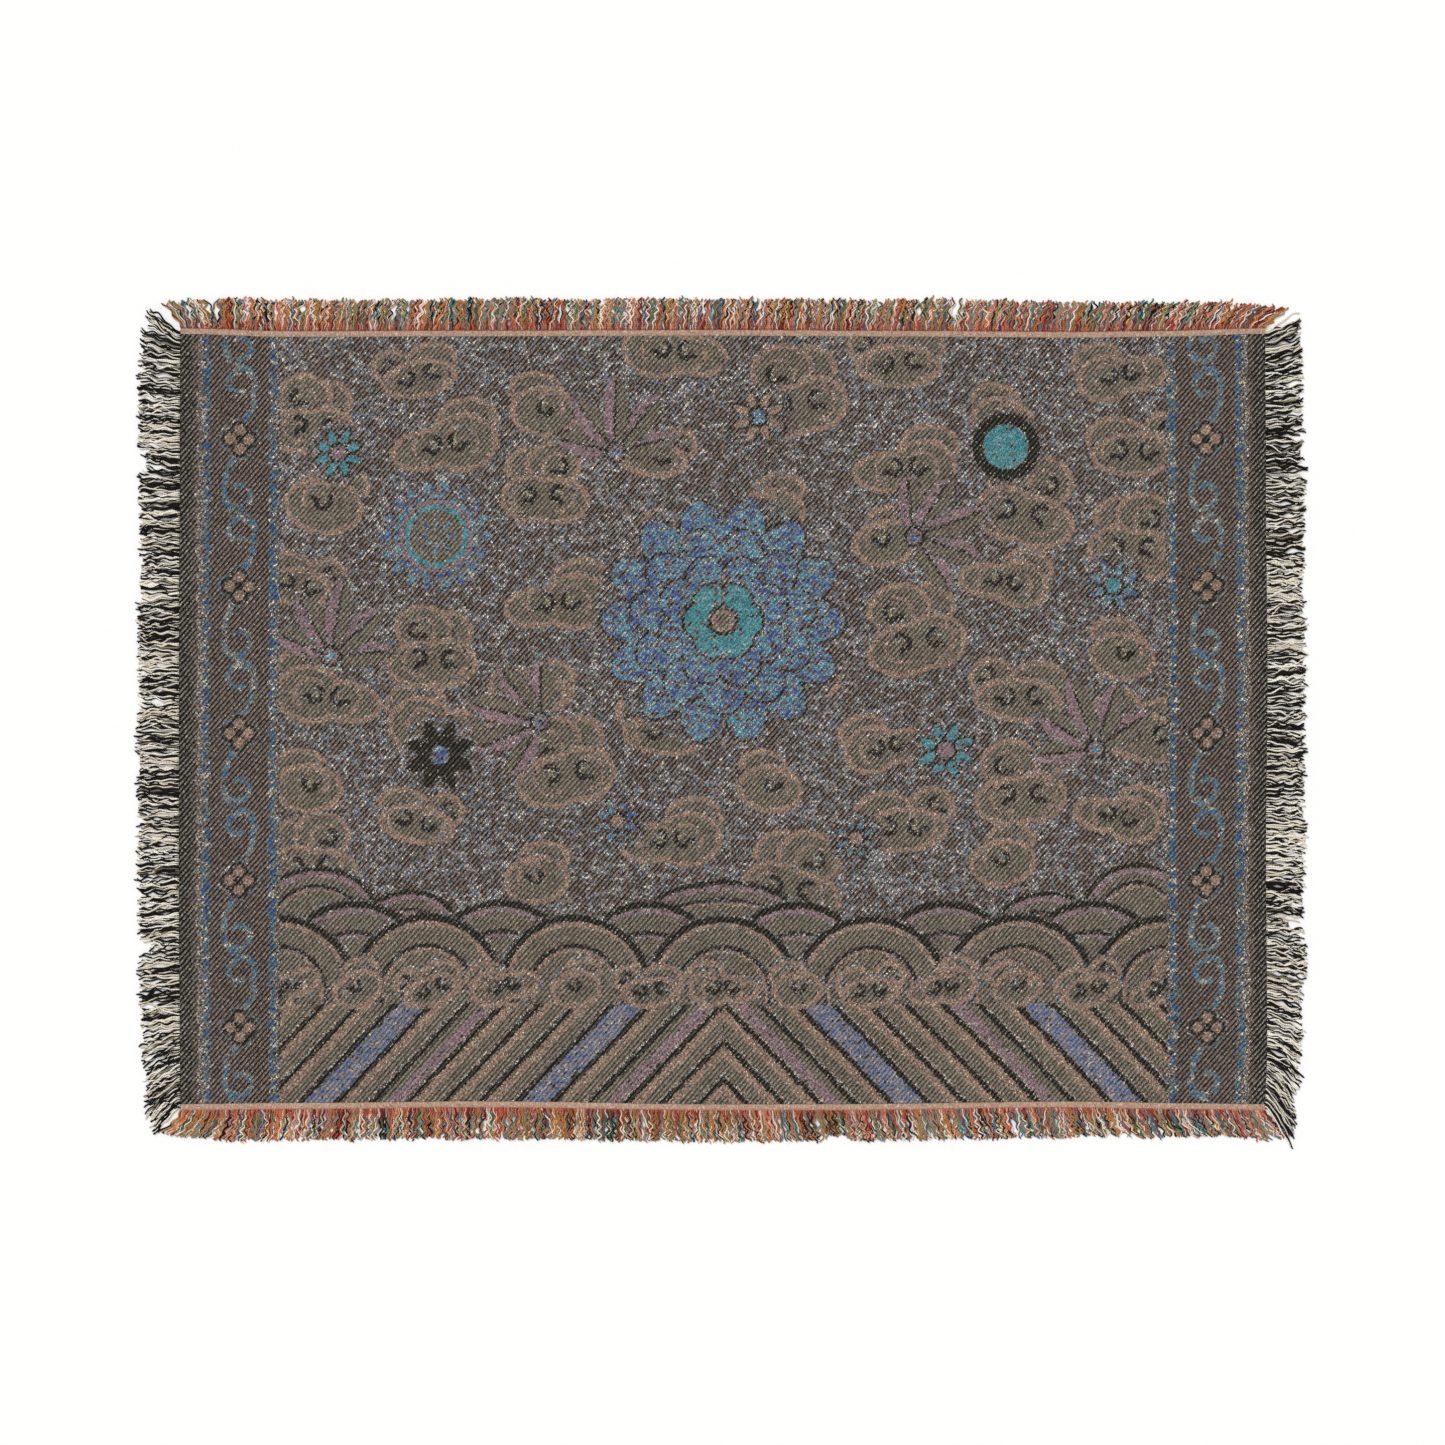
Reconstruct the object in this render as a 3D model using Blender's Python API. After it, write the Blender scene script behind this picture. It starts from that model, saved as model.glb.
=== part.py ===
"""A jacquard-woven tapestry throw with a fringe on all four sides, laid flat and face up.

Units are metres, +Z is up, +X runs along the long side and +Y along the short side.
The throw rests on Z = 0, and the origin is under the middle of its outline.
Each side is worked out in its own terms: a place along the side, measured from the side's
middle, a distance outwards from the woven cloth's edge, and a height above the floor.
"""

import math
import random
from typing import NamedTuple

import bmesh
import bpy
from mathutils import Vector

# Woven cloth
FIELD_WIDTH = 1.220
FIELD_HEIGHT = 0.866
CLOTH_THICKNESS = 0.0020
SEAM = 0.0003
FIELD_COLUMNS = 26
FIELD_ROWS = 18
PUCKER_HEIGHT = 0.00045
PUCKER_LENGTH = 0.31
PUCKER_WIDTH = 0.23
PUCKER_SLANT = 0.35
PUCKER_CROSS_SLANT = 0.20

# Strips that hold the fringe: a woven band at each end, a narrow selvage at each side
BAND_WIDTH = 0.0085
SELVAGE_WIDTH = 0.0030

# Fringe
END_REACH = 0.0345
SIDE_REACH = 0.0435
END_LOCKS = 88
SIDE_LOCKS = 62
SHORTEST_SHARE = 0.93
LONGEST_SHARE = 1.04
LEAN_EASE = 0.35
SWAY = 0.0012
SWAY_LENGTH = 0.045
SWAY_TURN = 2.0
SHUFFLE = 0.0006
LOCK_HEIGHT_LOW = 0.0024
LOCK_HEIGHT_HIGH = 0.0036
FRINGE_SEED = 11


class Row(NamedTuple):
    """A value at a place along a side, as a share of the side's length from -0.5 to 0.5."""

    place: float
    value: float


class Notch(NamedTuple):
    """A place where the fringe is worn short, with its width and the share of length it keeps."""

    place: float
    width: float
    keep: float


class Section(NamedTuple):
    """A cross-section of a lock: its share of the reach, of the root's width and of the height."""

    reach: float
    width: float
    height: float


class Side(NamedTuple):
    """One side of the throw. Bows move its edge outwards in metres, and leans tilt its locks
    towards the along direction, in degrees."""

    name: str
    along: Vector
    outward: Vector
    edge: float
    length: float
    strip_width: float
    reach: float
    locks: int
    bows: tuple
    leans: tuple
    notches: tuple


SECTIONS = (
    Section(0.30, 0.80, 1.00),
    Section(0.68, 0.69, 0.90),
    Section(1.00, 0.43, 0.50),
)

TOP_BOWS = (
    Row(-0.50, 0.0),
    Row(-0.40, -0.0034),
    Row(-0.24, -0.0028),
    Row(0.00, -0.0020),
    Row(0.17, -0.0030),
    Row(0.33, -0.0042),
    Row(0.41, -0.0030),
    Row(0.50, 0.0),
)
BOTTOM_BOWS = (
    Row(-0.50, 0.0),
    Row(-0.40, -0.0012),
    Row(-0.23, -0.0032),
    Row(0.00, 0.0),
    Row(0.10, 0.0),
    Row(0.31, -0.0030),
    Row(0.44, -0.0010),
    Row(0.50, 0.0),
)
LEFT_BOWS = (
    Row(-0.50, 0.0),
    Row(-0.20, 0.0016),
    Row(0.10, 0.0014),
    Row(0.30, 0.0006),
    Row(0.50, 0.0),
)
RIGHT_BOWS = (
    Row(-0.50, 0.0),
    Row(-0.42, 0.0022),
    Row(-0.17, 0.0008),
    Row(0.05, 0.0026),
    Row(0.30, 0.0008),
    Row(0.50, 0.0),
)

TOP_LEANS = (
    Row(-0.50, -35.0),
    Row(-0.48, -24.0),
    Row(-0.455, 0.0),
    Row(-0.35, 8.0),
    Row(-0.20, 4.0),
    Row(0.05, 8.0),
    Row(0.25, 14.0),
    Row(0.36, 20.0),
    Row(0.44, 32.0),
    Row(0.50, 50.0),
)
BOTTOM_LEANS = (
    Row(-0.50, -43.0),
    Row(-0.48, -32.0),
    Row(-0.44, -13.0),
    Row(-0.30, -4.0),
    Row(-0.10, 3.0),
    Row(0.10, 12.0),
    Row(0.25, 20.0),
    Row(0.36, 27.0),
    Row(0.50, 29.0),
)
LEFT_LEANS = (
    Row(-0.50, -44.0),
    Row(-0.44, -28.0),
    Row(-0.36, -8.0),
    Row(-0.10, 0.0),
    Row(0.30, 0.0),
    Row(0.45, 6.0),
    Row(0.475, 18.0),
    Row(0.50, 40.0),
)
RIGHT_LEANS = (
    Row(-0.50, -60.0),
    Row(-0.46, -56.0),
    Row(-0.41, -34.0),
    Row(-0.34, -14.0),
    Row(-0.15, -2.0),
    Row(0.25, 0.0),
    Row(0.44, 8.0),
    Row(0.50, 25.0),
)

SIDES = (
    Side(
        name="fringe_top",
        along=Vector((1.0, 0.0, 0.0)),
        outward=Vector((0.0, 1.0, 0.0)),
        edge=FIELD_HEIGHT / 2,
        length=FIELD_WIDTH,
        strip_width=BAND_WIDTH,
        reach=END_REACH,
        locks=END_LOCKS,
        bows=TOP_BOWS,
        leans=TOP_LEANS,
        notches=(Notch(-0.468, 0.010, 0.45), Notch(0.211, 0.010, 0.40)),
    ),
    Side(
        name="fringe_bottom",
        along=Vector((1.0, 0.0, 0.0)),
        outward=Vector((0.0, -1.0, 0.0)),
        edge=FIELD_HEIGHT / 2,
        length=FIELD_WIDTH,
        strip_width=BAND_WIDTH,
        reach=END_REACH,
        locks=END_LOCKS,
        bows=BOTTOM_BOWS,
        leans=BOTTOM_LEANS,
        notches=(Notch(0.10, 0.016, 0.82),),
    ),
    Side(
        name="fringe_left",
        along=Vector((0.0, 1.0, 0.0)),
        outward=Vector((-1.0, 0.0, 0.0)),
        edge=FIELD_WIDTH / 2,
        length=FIELD_HEIGHT + BAND_WIDTH,
        strip_width=SELVAGE_WIDTH,
        reach=SIDE_REACH,
        locks=SIDE_LOCKS,
        bows=LEFT_BOWS,
        leans=LEFT_LEANS,
        notches=(Notch(-0.29, 0.012, 0.75), Notch(0.33, 0.012, 0.80)),
    ),
    Side(
        name="fringe_right",
        along=Vector((0.0, 1.0, 0.0)),
        outward=Vector((1.0, 0.0, 0.0)),
        edge=FIELD_WIDTH / 2,
        length=FIELD_HEIGHT + BAND_WIDTH,
        strip_width=SELVAGE_WIDTH,
        reach=SIDE_REACH * 0.92,
        locks=SIDE_LOCKS,
        bows=RIGHT_BOWS,
        leans=RIGHT_LEANS,
        notches=(Notch(-0.26, 0.012, 0.45),),
    ),
)


def clear_scene():
    """Removes every object, so that only this model is left."""
    for obj in list(bpy.data.objects):
        bpy.data.objects.remove(obj)


def eased(rows, place):
    """The value at a place, eased smoothly from one row to the next."""
    before = rows[0]
    for after in rows[1:]:
        if place <= after.place:
            share = (place - before.place) / (after.place - before.place)
            share = min(1.0, max(0.0, share))
            share = share * share * (3.0 - 2.0 * share)
            return before.value + (after.value - before.value) * share
        before = after
    return before.value


def bow_of(side, along):
    """How far the side's edge stands out from a straight line, at a place along it."""
    return eased(side.bows, along / side.length)


def to_world(side, along, out, height):
    """The point at a place along a side, a distance outwards from its edge and a height."""
    return (
        side.along * along
        + side.outward * (side.edge + bow_of(side, along) + out)
        + Vector((0.0, 0.0, height))
    )


def cloth_material(name, colour):
    """A matt woven cotton of the given linear colour."""
    made = bpy.data.materials.new(name)
    made.use_nodes = True
    shader = made.node_tree.nodes["Principled BSDF"]
    shader.inputs["Base Color"].default_value = (*colour, 1.0)
    shader.inputs["Roughness"].default_value = 0.92
    shader.inputs["Metallic"].default_value = 0.0
    return made


def add_solid(name, mesh_data, collection, material):
    """Turns a bmesh into a named object in the collection."""
    data = bpy.data.meshes.new(name)
    mesh_data.to_mesh(data)
    mesh_data.free()
    data.materials.append(material)
    obj = bpy.data.objects.new(name, data)
    collection.objects.link(obj)
    return obj


def pucker(x, y):
    """The low, broad unevenness of the cloth's face."""
    wave = math.sin(math.tau * (x / PUCKER_LENGTH + PUCKER_SLANT * y / PUCKER_WIDTH))
    cross = math.cos(math.tau * (y / PUCKER_WIDTH - PUCKER_CROSS_SLANT * x / PUCKER_LENGTH))
    return PUCKER_HEIGHT * 0.5 * (wave + cross)


def field_point(x, y):
    """Moves a point of the plain rectangle so that its rim follows the four bowed edges."""
    top, bottom, left, right = SIDES
    across = x / FIELD_WIDTH + 0.5
    upwards = y / FIELD_HEIGHT + 0.5
    x += bow_of(right, y) * across - bow_of(left, y) * (1.0 - across)
    y += bow_of(top, x) * upwards - bow_of(bottom, x) * (1.0 - upwards)
    return x, y


def build_field(collection):
    """The woven panel: one sheet with a flat underside and a slightly uneven face."""
    sheet = bmesh.new()
    bmesh.ops.create_grid(
        sheet, x_segments=FIELD_COLUMNS, y_segments=FIELD_ROWS, size=0.5
    )
    lifted = bmesh.ops.extrude_face_region(sheet, geom=sheet.faces[:])["geom"]
    face_verts = {item for item in lifted if isinstance(item, bmesh.types.BMVert)}
    for vert in sheet.verts:
        x, y = field_point(vert.co.x * FIELD_WIDTH, vert.co.y * FIELD_HEIGHT)
        height = CLOTH_THICKNESS + pucker(x, y) if vert in face_verts else 0.0
        vert.co = (x, y, height)
    bmesh.ops.recalc_face_normals(sheet, faces=sheet.faces[:])
    material = cloth_material("woven_field", (0.145, 0.115, 0.095))
    return add_solid("woven_field", sheet, collection, material)


def notch_keep(side, along):
    """The share of its length that a lock keeps where the fringe is worn short."""
    keep = 1.0
    for notch in side.notches:
        off = abs(along - notch.place * side.length)
        if off < notch.width:
            keep = min(keep, notch.keep)
    return keep


def grow_lock(mesh, face, side, pitch, chance):
    """Draws one lock out of a face of the strip's outer wall, section by section.

    The lock leaves the wall nearly square to it and leans over more towards its tip.
    """
    root = face.calc_center_median().x
    lean = math.tan(math.radians(eased(side.leans, root / side.length)))
    length = side.reach * chance.uniform(SHORTEST_SHARE, LONGEST_SHARE)
    length *= notch_keep(side, root)
    reach = length / math.hypot(1.0, lean)
    height = chance.uniform(LOCK_HEIGHT_LOW, LOCK_HEIGHT_HIGH)
    shuffle = chance.uniform(-SHUFFLE, SHUFFLE)
    phase = math.tau * root / SWAY_LENGTH
    centre = root
    for section in SECTIONS:
        middle = centre
        face = bmesh.ops.extrude_discrete_faces(mesh, faces=[face])["faces"][0]
        out = section.reach * reach
        sway = SWAY * section.reach * math.sin(phase + SWAY_TURN * section.reach)
        bend = lean * out * section.reach**LEAN_EASE
        centre = root + bend + sway + shuffle * section.reach
        half_width = pitch * section.width / 2
        for vert in face.verts:
            right = vert.co.x > middle
            raised = vert.co.z > 0.0
            vert.co.x = centre + (half_width if right else -half_width)
            vert.co.y = side.strip_width + out
            vert.co.z = height * section.height if raised else 0.0


def build_fringe(side, collection, material):
    """One side's strip with its locks, which stand apart but for their roots in the strip."""
    pitch = side.length / side.locks
    mesh = bmesh.new()
    bmesh.ops.create_grid(mesh, x_segments=side.locks, y_segments=1, size=0.5)
    for vert in mesh.verts:
        vert.co.x *= side.length
        vert.co.y = side.strip_width if vert.co.y > 0.0 else SEAM
    lifted = bmesh.ops.extrude_face_region(mesh, geom=mesh.faces[:])["geom"]
    for item in lifted:
        if isinstance(item, bmesh.types.BMVert):
            item.co.z = CLOTH_THICKNESS
    outer_wall = [
        face
        for face in mesh.faces
        if all(abs(vert.co.y - side.strip_width) < 1e-6 for vert in face.verts)
    ]
    outer_wall.sort(key=lambda face: face.calc_center_median().x)
    chance = random.Random(f"{side.name}{FRINGE_SEED}")
    for face in outer_wall:
        grow_lock(mesh, face, side, pitch, chance)
    for vert in mesh.verts:
        vert.co = to_world(side, vert.co.x, vert.co.y, vert.co.z)
    bmesh.ops.recalc_face_normals(mesh, faces=mesh.faces[:])
    return add_solid(side.name, mesh, collection, material)


def centre_outline(objects):
    """Shifts the throw so that the middle of its outline is over the origin."""
    corners = [vert.co for obj in objects for vert in obj.data.vertices]
    middle_x = (min(c.x for c in corners) + max(c.x for c in corners)) / 2
    middle_y = (min(c.y for c in corners) + max(c.y for c in corners)) / 2
    base = bpy.data.objects.new("throw_base", None)
    base.location = (-middle_x, -middle_y, 0.0)
    for obj in objects:
        obj.parent = base
    return base


def main():
    """Builds the woven panel and the four fringes."""
    clear_scene()
    collection = bpy.data.collections.new("tapestry_throw")
    bpy.context.scene.collection.children.link(collection)
    warp_ends = cloth_material("warp_fringe", (0.30, 0.17, 0.11))
    weft_ends = cloth_material("weft_fringe", (0.32, 0.29, 0.23))
    made = [build_field(collection)]
    for side in SIDES:
        is_end = side.along.x > 0.5
        made.append(build_fringe(side, collection, warp_ends if is_end else weft_ends))
    collection.objects.link(centre_outline(made))


main()
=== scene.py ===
"""Looks of a jacquard-woven tapestry throw with a cut fringe on all four sides, laid flat.

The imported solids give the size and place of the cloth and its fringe. This script weaves
the cloth's face over them as a finer mesh, twists the fringe out of single yarns, and sets
up the floor, the light and the camera. Geometry is in metres, and the woven design is
charted in millimetres from the middle of the cloth's lower edge.
"""

import logging
import math
from collections.abc import Iterator, Sequence
from contextlib import contextmanager
from dataclasses import dataclass, field
from enum import Enum
from typing import NamedTuple

import bpy
import numpy as np
from numpy.typing import NDArray
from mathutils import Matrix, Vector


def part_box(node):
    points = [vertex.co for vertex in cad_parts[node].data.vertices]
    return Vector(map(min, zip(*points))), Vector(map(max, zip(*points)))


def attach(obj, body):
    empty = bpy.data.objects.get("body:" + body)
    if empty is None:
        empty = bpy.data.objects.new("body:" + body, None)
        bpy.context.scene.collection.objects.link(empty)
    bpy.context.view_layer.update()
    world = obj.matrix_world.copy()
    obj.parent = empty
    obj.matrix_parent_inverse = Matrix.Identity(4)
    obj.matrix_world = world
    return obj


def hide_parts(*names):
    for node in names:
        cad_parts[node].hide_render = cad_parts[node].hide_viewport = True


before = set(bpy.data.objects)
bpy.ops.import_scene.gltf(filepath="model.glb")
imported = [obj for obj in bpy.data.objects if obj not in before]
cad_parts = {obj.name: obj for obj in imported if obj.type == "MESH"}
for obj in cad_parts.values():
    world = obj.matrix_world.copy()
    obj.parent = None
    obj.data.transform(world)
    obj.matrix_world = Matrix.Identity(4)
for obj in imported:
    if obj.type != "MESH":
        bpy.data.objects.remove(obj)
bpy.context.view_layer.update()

LOG = logging.getLogger("tapestry_throw")
Floats = NDArray[np.floating]
Integers = NDArray[np.integer]
Flags = NDArray[np.bool_]
Chances = np.random.Generator
Tree = bpy.types.NodeTree
Socket = bpy.types.NodeSocket
Material = bpy.types.Material
Mesh = bpy.types.Mesh
Piece = bpy.types.Object

# Woven cloth, as the solids have it
FIELD_WIDTH = 1.220
FIELD_HEIGHT = 0.866
CLOTH_THICKNESS = 0.0020
PUCKER_HEIGHT = 0.00045
PUCKER_LENGTH = 0.31
PUCKER_WIDTH = 0.23
PUCKER_SLANT = 0.35
PUCKER_CROSS_SLANT = 0.20
BAND_WIDTH = 0.0085
SELVAGE_WIDTH = 0.0030
SEAM = 0.0003

# Fringe, as the solids have it
END_REACH = 0.0345
SIDE_REACH = 0.0435
RIGHT_SHARE = 0.92
LEAN_EASE = 0.35

# The jacquard's sett: one cell is a warp end crossed by a pick, and the twill steps one cell.
# Real yarns are finer, and a cell is as coarse as it must be for its colour to show.
WARP_PITCH = 0.001134
WEFT_PITCH = 0.00130
TWILL_ENDS = 5

# Cotton is matt and its loose fibres catch a soft light
COTTON_IOR = 1.5
COTTON_SPECULAR = 0.15
COTTON_SHEEN_ROUGHNESS = 0.6
BUMP_STRENGTH = 0.5

METRES_PER_MM = 0.001
SMOOTH_ANGLE = math.radians(40.0)
FRINGE_SEED = 21

# Millimetres in the chart: a field well outside its area, and a distance past them all
WELL_OUTSIDE = -60.0
FAR = 1e6
TINY = 1e-9
CURL_STEPS = 14

# On a sheet of size 1: how near an edge counts as on it. A face that points down is under it
CLOSE = 1e-6
DOWNWARDS = -0.9


class MapArea(NamedTuple):
    """A rectangle on the bake map, as shares of the map's or of a cell's own size."""

    left: float
    low: float
    width: float
    height: float


# The cloth's bake map. The rim's four sides are lanes, numbered 0.1, 1.1, 2.1 and 3.1
FACE_ON_MAP = MapArea(left=0.002, low=0.292, width=0.996, height=0.706)
BACK_ON_MAP = MapArea(left=0.002, low=0.002, width=0.380, height=0.270)
RIM_LEFT = 0.40
RIM_LOW = 0.03
RIM_WIDTH = 0.58
LANE_PITCH = 0.05
LANE_HEIGHT = 0.02

# A yarn's cell of the bake map, and its two cut ends above and below its length
YARN_ON_MAP = MapArea(left=0.08, low=0.06, width=0.84, height=0.88)
ROOT_PLACE = -0.03
TIP_PLACE = 1.03
CAP_WIDTH = 0.30
CAP_HEIGHT = 0.015


class Row(NamedTuple):
    """A value at a place along a side, as a share of the side's length from -0.5 to 0.5."""

    place: float
    value: float


class Notch(NamedTuple):
    """A place where the fringe is shorter or longer: its middle, half width and share."""

    place: float
    width: float
    keep: float


def eased(rows: Sequence[Row], place: Floats) -> Floats:
    """Reads a table at many places, eased smoothly from one row to the next.

    Args:
        rows: the table, in rising order of place.
        place: where to read it.

    Returns:
        The value at each place.
    """
    values = np.full(place.shape, rows[0].value)
    for before, after in zip(rows, rows[1:]):
        share = np.clip((place - before.place) / (after.place - before.place), 0.0, 1.0)
        share = share * share * (3.0 - 2.0 * share)
        here = place > before.place
        values[here] = (before.value + (after.value - before.value) * share)[here]
    return values


@dataclass(frozen=True)
class Side:
    """One side of the throw: its line, its bows and how its fringe is combed."""

    node: str
    along: tuple[float, float]
    outward: tuple[float, float]
    edge: float
    length: float
    strip_width: float
    reach: float
    bows: tuple[Row, ...]
    leans: tuple[Row, ...]
    notches: tuple[Notch, ...]

    def bow(self, along: Floats) -> Floats:
        """How far the edge stands out from a straight line, in metres, at places along it."""
        return eased(self.bows, along / self.length)

    def lean(self, along: Floats) -> Floats:
        """The tangent of the fringe's lean towards the along direction."""
        return np.tan(np.radians(eased(self.leans, along / self.length)))

    def keep(self, along: Floats) -> Floats:
        """Reads the fringe's notches.

        Args:
            along: places along the side.

        Returns:
            The share of its length that the fringe keeps there.
        """
        share = np.ones(along.shape)
        for notch in self.notches:
            inside = np.abs(along - notch.place * self.length) < notch.width
            share[inside] *= notch.keep
        return share

    def to_world(self, along: Floats, out: Floats, height: Floats, middle: Floats) -> Floats:
        """Turns places in the side's own terms into points of the model.

        Args:
            along: place along the side from its middle.
            out: distance outwards from the cloth's edge.
            height: height above the floor.
            middle: x and y of the cloth's middle.

        Returns:
            An array of points, one row of x, y and z each.
        """
        reach = self.edge + self.bow(along) + out
        x = middle[0] + self.along[0] * along + self.outward[0] * reach
        y = middle[1] + self.along[1] * along + self.outward[1] * reach
        return np.stack([x, y, height], axis=-1)


TOP = Side(
    node="fringe_top",
    along=(1.0, 0.0),
    outward=(0.0, 1.0),
    edge=FIELD_HEIGHT / 2,
    length=FIELD_WIDTH,
    strip_width=BAND_WIDTH,
    reach=END_REACH,
    bows=(
        Row(-0.50, 0.0), Row(-0.40, -0.0034), Row(-0.24, -0.0028),
        Row(0.00, -0.0020), Row(0.17, -0.0030), Row(0.33, -0.0042),
        Row(0.41, -0.0030), Row(0.50, 0.0),
    ),
    leans=(
        Row(-0.50, -35.0), Row(-0.48, -24.0), Row(-0.455, 0.0),
        Row(-0.35, 8.0), Row(-0.20, 4.0), Row(0.05, 8.0),
        Row(0.25, 14.0), Row(0.36, 20.0), Row(0.44, 32.0),
        Row(0.50, 50.0),
    ),
    notches=(Notch(-0.468, 0.004, 0.55), Notch(0.211, 0.005, 0.50)),
)
BOTTOM = Side(
    node="fringe_bottom",
    along=(1.0, 0.0),
    outward=(0.0, -1.0),
    edge=FIELD_HEIGHT / 2,
    length=FIELD_WIDTH,
    strip_width=BAND_WIDTH,
    reach=END_REACH,
    bows=(
        Row(-0.50, 0.0), Row(-0.40, -0.0012), Row(-0.23, -0.0032),
        Row(0.00, 0.0), Row(0.10, 0.0), Row(0.31, -0.0030),
        Row(0.44, -0.0010), Row(0.50, 0.0),
    ),
    leans=(
        Row(-0.50, -43.0), Row(-0.48, -32.0), Row(-0.44, -13.0),
        Row(-0.30, -4.0), Row(-0.10, 3.0), Row(0.10, 12.0),
        Row(0.25, 20.0), Row(0.36, 27.0), Row(0.47, 31.0),
        Row(0.50, 42.0),
    ),
    notches=(Notch(0.10, 0.016, 0.82), Notch(0.49, 0.014, 1.12)),
)
LEFT = Side(
    node="fringe_left",
    along=(0.0, 1.0),
    outward=(-1.0, 0.0),
    edge=FIELD_WIDTH / 2,
    length=FIELD_HEIGHT + BAND_WIDTH,
    strip_width=SELVAGE_WIDTH,
    reach=SIDE_REACH,
    bows=(
        Row(-0.50, 0.0), Row(-0.20, 0.0016), Row(0.10, 0.0014),
        Row(0.30, 0.0006), Row(0.50, 0.0),
    ),
    leans=(
        Row(-0.50, -44.0), Row(-0.44, -28.0), Row(-0.36, -8.0),
        Row(-0.10, 0.0), Row(0.30, 0.0), Row(0.45, 6.0),
        Row(0.475, 18.0), Row(0.50, 40.0),
    ),
    notches=(Notch(-0.29, 0.012, 0.75), Notch(0.33, 0.012, 0.80)),
)
RIGHT = Side(
    node="fringe_right",
    along=(0.0, 1.0),
    outward=(1.0, 0.0),
    edge=FIELD_WIDTH / 2,
    length=FIELD_HEIGHT + BAND_WIDTH,
    strip_width=SELVAGE_WIDTH,
    reach=SIDE_REACH * RIGHT_SHARE,
    bows=(
        Row(-0.50, 0.0), Row(-0.42, 0.0022), Row(-0.17, 0.0008),
        Row(0.05, 0.0026), Row(0.30, 0.0008), Row(0.50, 0.0),
    ),
    leans=(
        Row(-0.50, -57.0), Row(-0.47, -47.0), Row(-0.41, -28.0),
        Row(-0.34, -12.0), Row(-0.15, -2.0), Row(0.25, 0.0),
        Row(0.44, 8.0), Row(0.50, 25.0),
    ),
    notches=(
        Notch(-0.26, 0.006, 0.60),
        Notch(-0.485, 0.016, 1.25),
        Notch(-0.450, 0.014, 1.13),
    ),
)


def cloth_middle() -> Floats:
    """Finds the middle of the cloth's plain rectangle, before its edges are bowed.

    Returns:
        Its x and y in the model.
    """
    low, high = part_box("woven_field")
    widest_left = max(row.value for row in LEFT.bows)
    widest_right = max(row.value for row in RIGHT.bows)
    x = (low[0] + high[0] + widest_left - widest_right) / 2
    y = (low[1] + high[1]) / 2
    return np.array([x, y])


def linear(colour: str) -> tuple[float, float, float, float]:
    """Turns an sRGB hex colour into the linear values that Blender's sockets take.

    Args:
        colour: six hex digits after a hash mark.

    Returns:
        Red, green, blue and an alpha of 1.
    """
    channels = []
    for start in (1, 3, 5):
        value = int(colour[start : start + 2], 16) / 255.0
        dark = value <= 0.04045
        channels.append(value / 12.92 if dark else ((value + 0.055) / 1.055) ** 2.4)
    return (*channels, 1.0)


class Stop(NamedTuple):
    """A colour on a ramp, from this place on."""

    place: float
    colour: str


def add_node(
    tree: Tree,
    kind: str,
    inputs: dict | None = None,
    output: int | str = 0,
    stops: Sequence[Stop] = (),
    **settings: object,
) -> Socket:
    """Adds a shader node with its settings, its ramp and its links.

    Args:
        tree: the material's or world's node tree.
        kind: the node's type, without its ShaderNode prefix.
        inputs: a socket to link or a value to set, for each input's name or index.
        output: the output to hand back.
        stops: the colours of a colour ramp.
        **settings: the node's own properties.

    Returns:
        The chosen output socket.
    """
    node = tree.nodes.new(f"ShaderNode{kind}")
    for name, value in settings.items():
        setattr(node, name, value)
    for key, source in (inputs or {}).items():
        if isinstance(source, Socket):
            tree.links.new(source, node.inputs[key])
        else:
            node.inputs[key].default_value = source
    if stops:
        ramp = node.color_ramp
        ramp.interpolation = "CONSTANT"
        while len(ramp.elements) < len(stops):
            ramp.elements.new(1.0)
        for element, stop in zip(ramp.elements, stops):
            element.position = stop.place
            element.color = linear(stop.colour)
    return node.outputs[output]


def new_material(name: str, roughness: float, sheen: float) -> Material:
    """Starts a cotton material with the values that are the same all over it.

    Args:
        name: the material's name.
        roughness: cotton is matt, so this is high.
        sheen: the weight of the soft light that loose fibres catch.

    Returns:
        A material whose tree holds one Principled shader.
    """
    made = bpy.data.materials.new(name)
    made.use_nodes = True
    shader = made.node_tree.nodes["Principled BSDF"]
    shader.inputs["Roughness"].default_value = roughness
    shader.inputs["IOR"].default_value = COTTON_IOR
    shader.inputs["Specular IOR Level"].default_value = COTTON_SPECULAR
    shader.inputs["Sheen Weight"].default_value = sheen
    shader.inputs["Sheen Roughness"].default_value = COTTON_SHEEN_ROUGHNESS
    return made


class Spread(NamedTuple):
    """What the start and end of a value's range are stretched to: low and high."""

    low: float
    high: float
    start: float = 0.0
    end: float = 1.0

    def inputs(self, value: Socket) -> dict:
        """The inputs with which a node stretches the value so."""
        ends = {"From Min": self.start, "From Max": self.end}
        return {"Value": value, **ends, "To Min": self.low, "To Max": self.high}


def sett_cell(tree: Tree, place: Socket) -> Socket:
    """Numbers the cells of the sett by their column and row.

    Args:
        tree: the material's node tree.
        place: Object coordinates.

    Returns:
        The column and row as x and y.
    """
    sett = (WARP_PITCH, WEFT_PITCH, 1.0)
    count = add_node(tree, "VectorMath", {0: place, 1: sett}, operation="DIVIDE")
    return add_node(tree, "VectorMath", {0: count}, operation="FLOOR")


def sett_chance(tree: Tree) -> Socket:
    """A chance number for each cell of the sett, on Object coordinates."""
    cell = sett_cell(tree, add_node(tree, "TexCoord", output="Object"))
    return add_node(tree, "TexWhiteNoise", {"Vector": cell}, noise_dimensions="3D")


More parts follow.
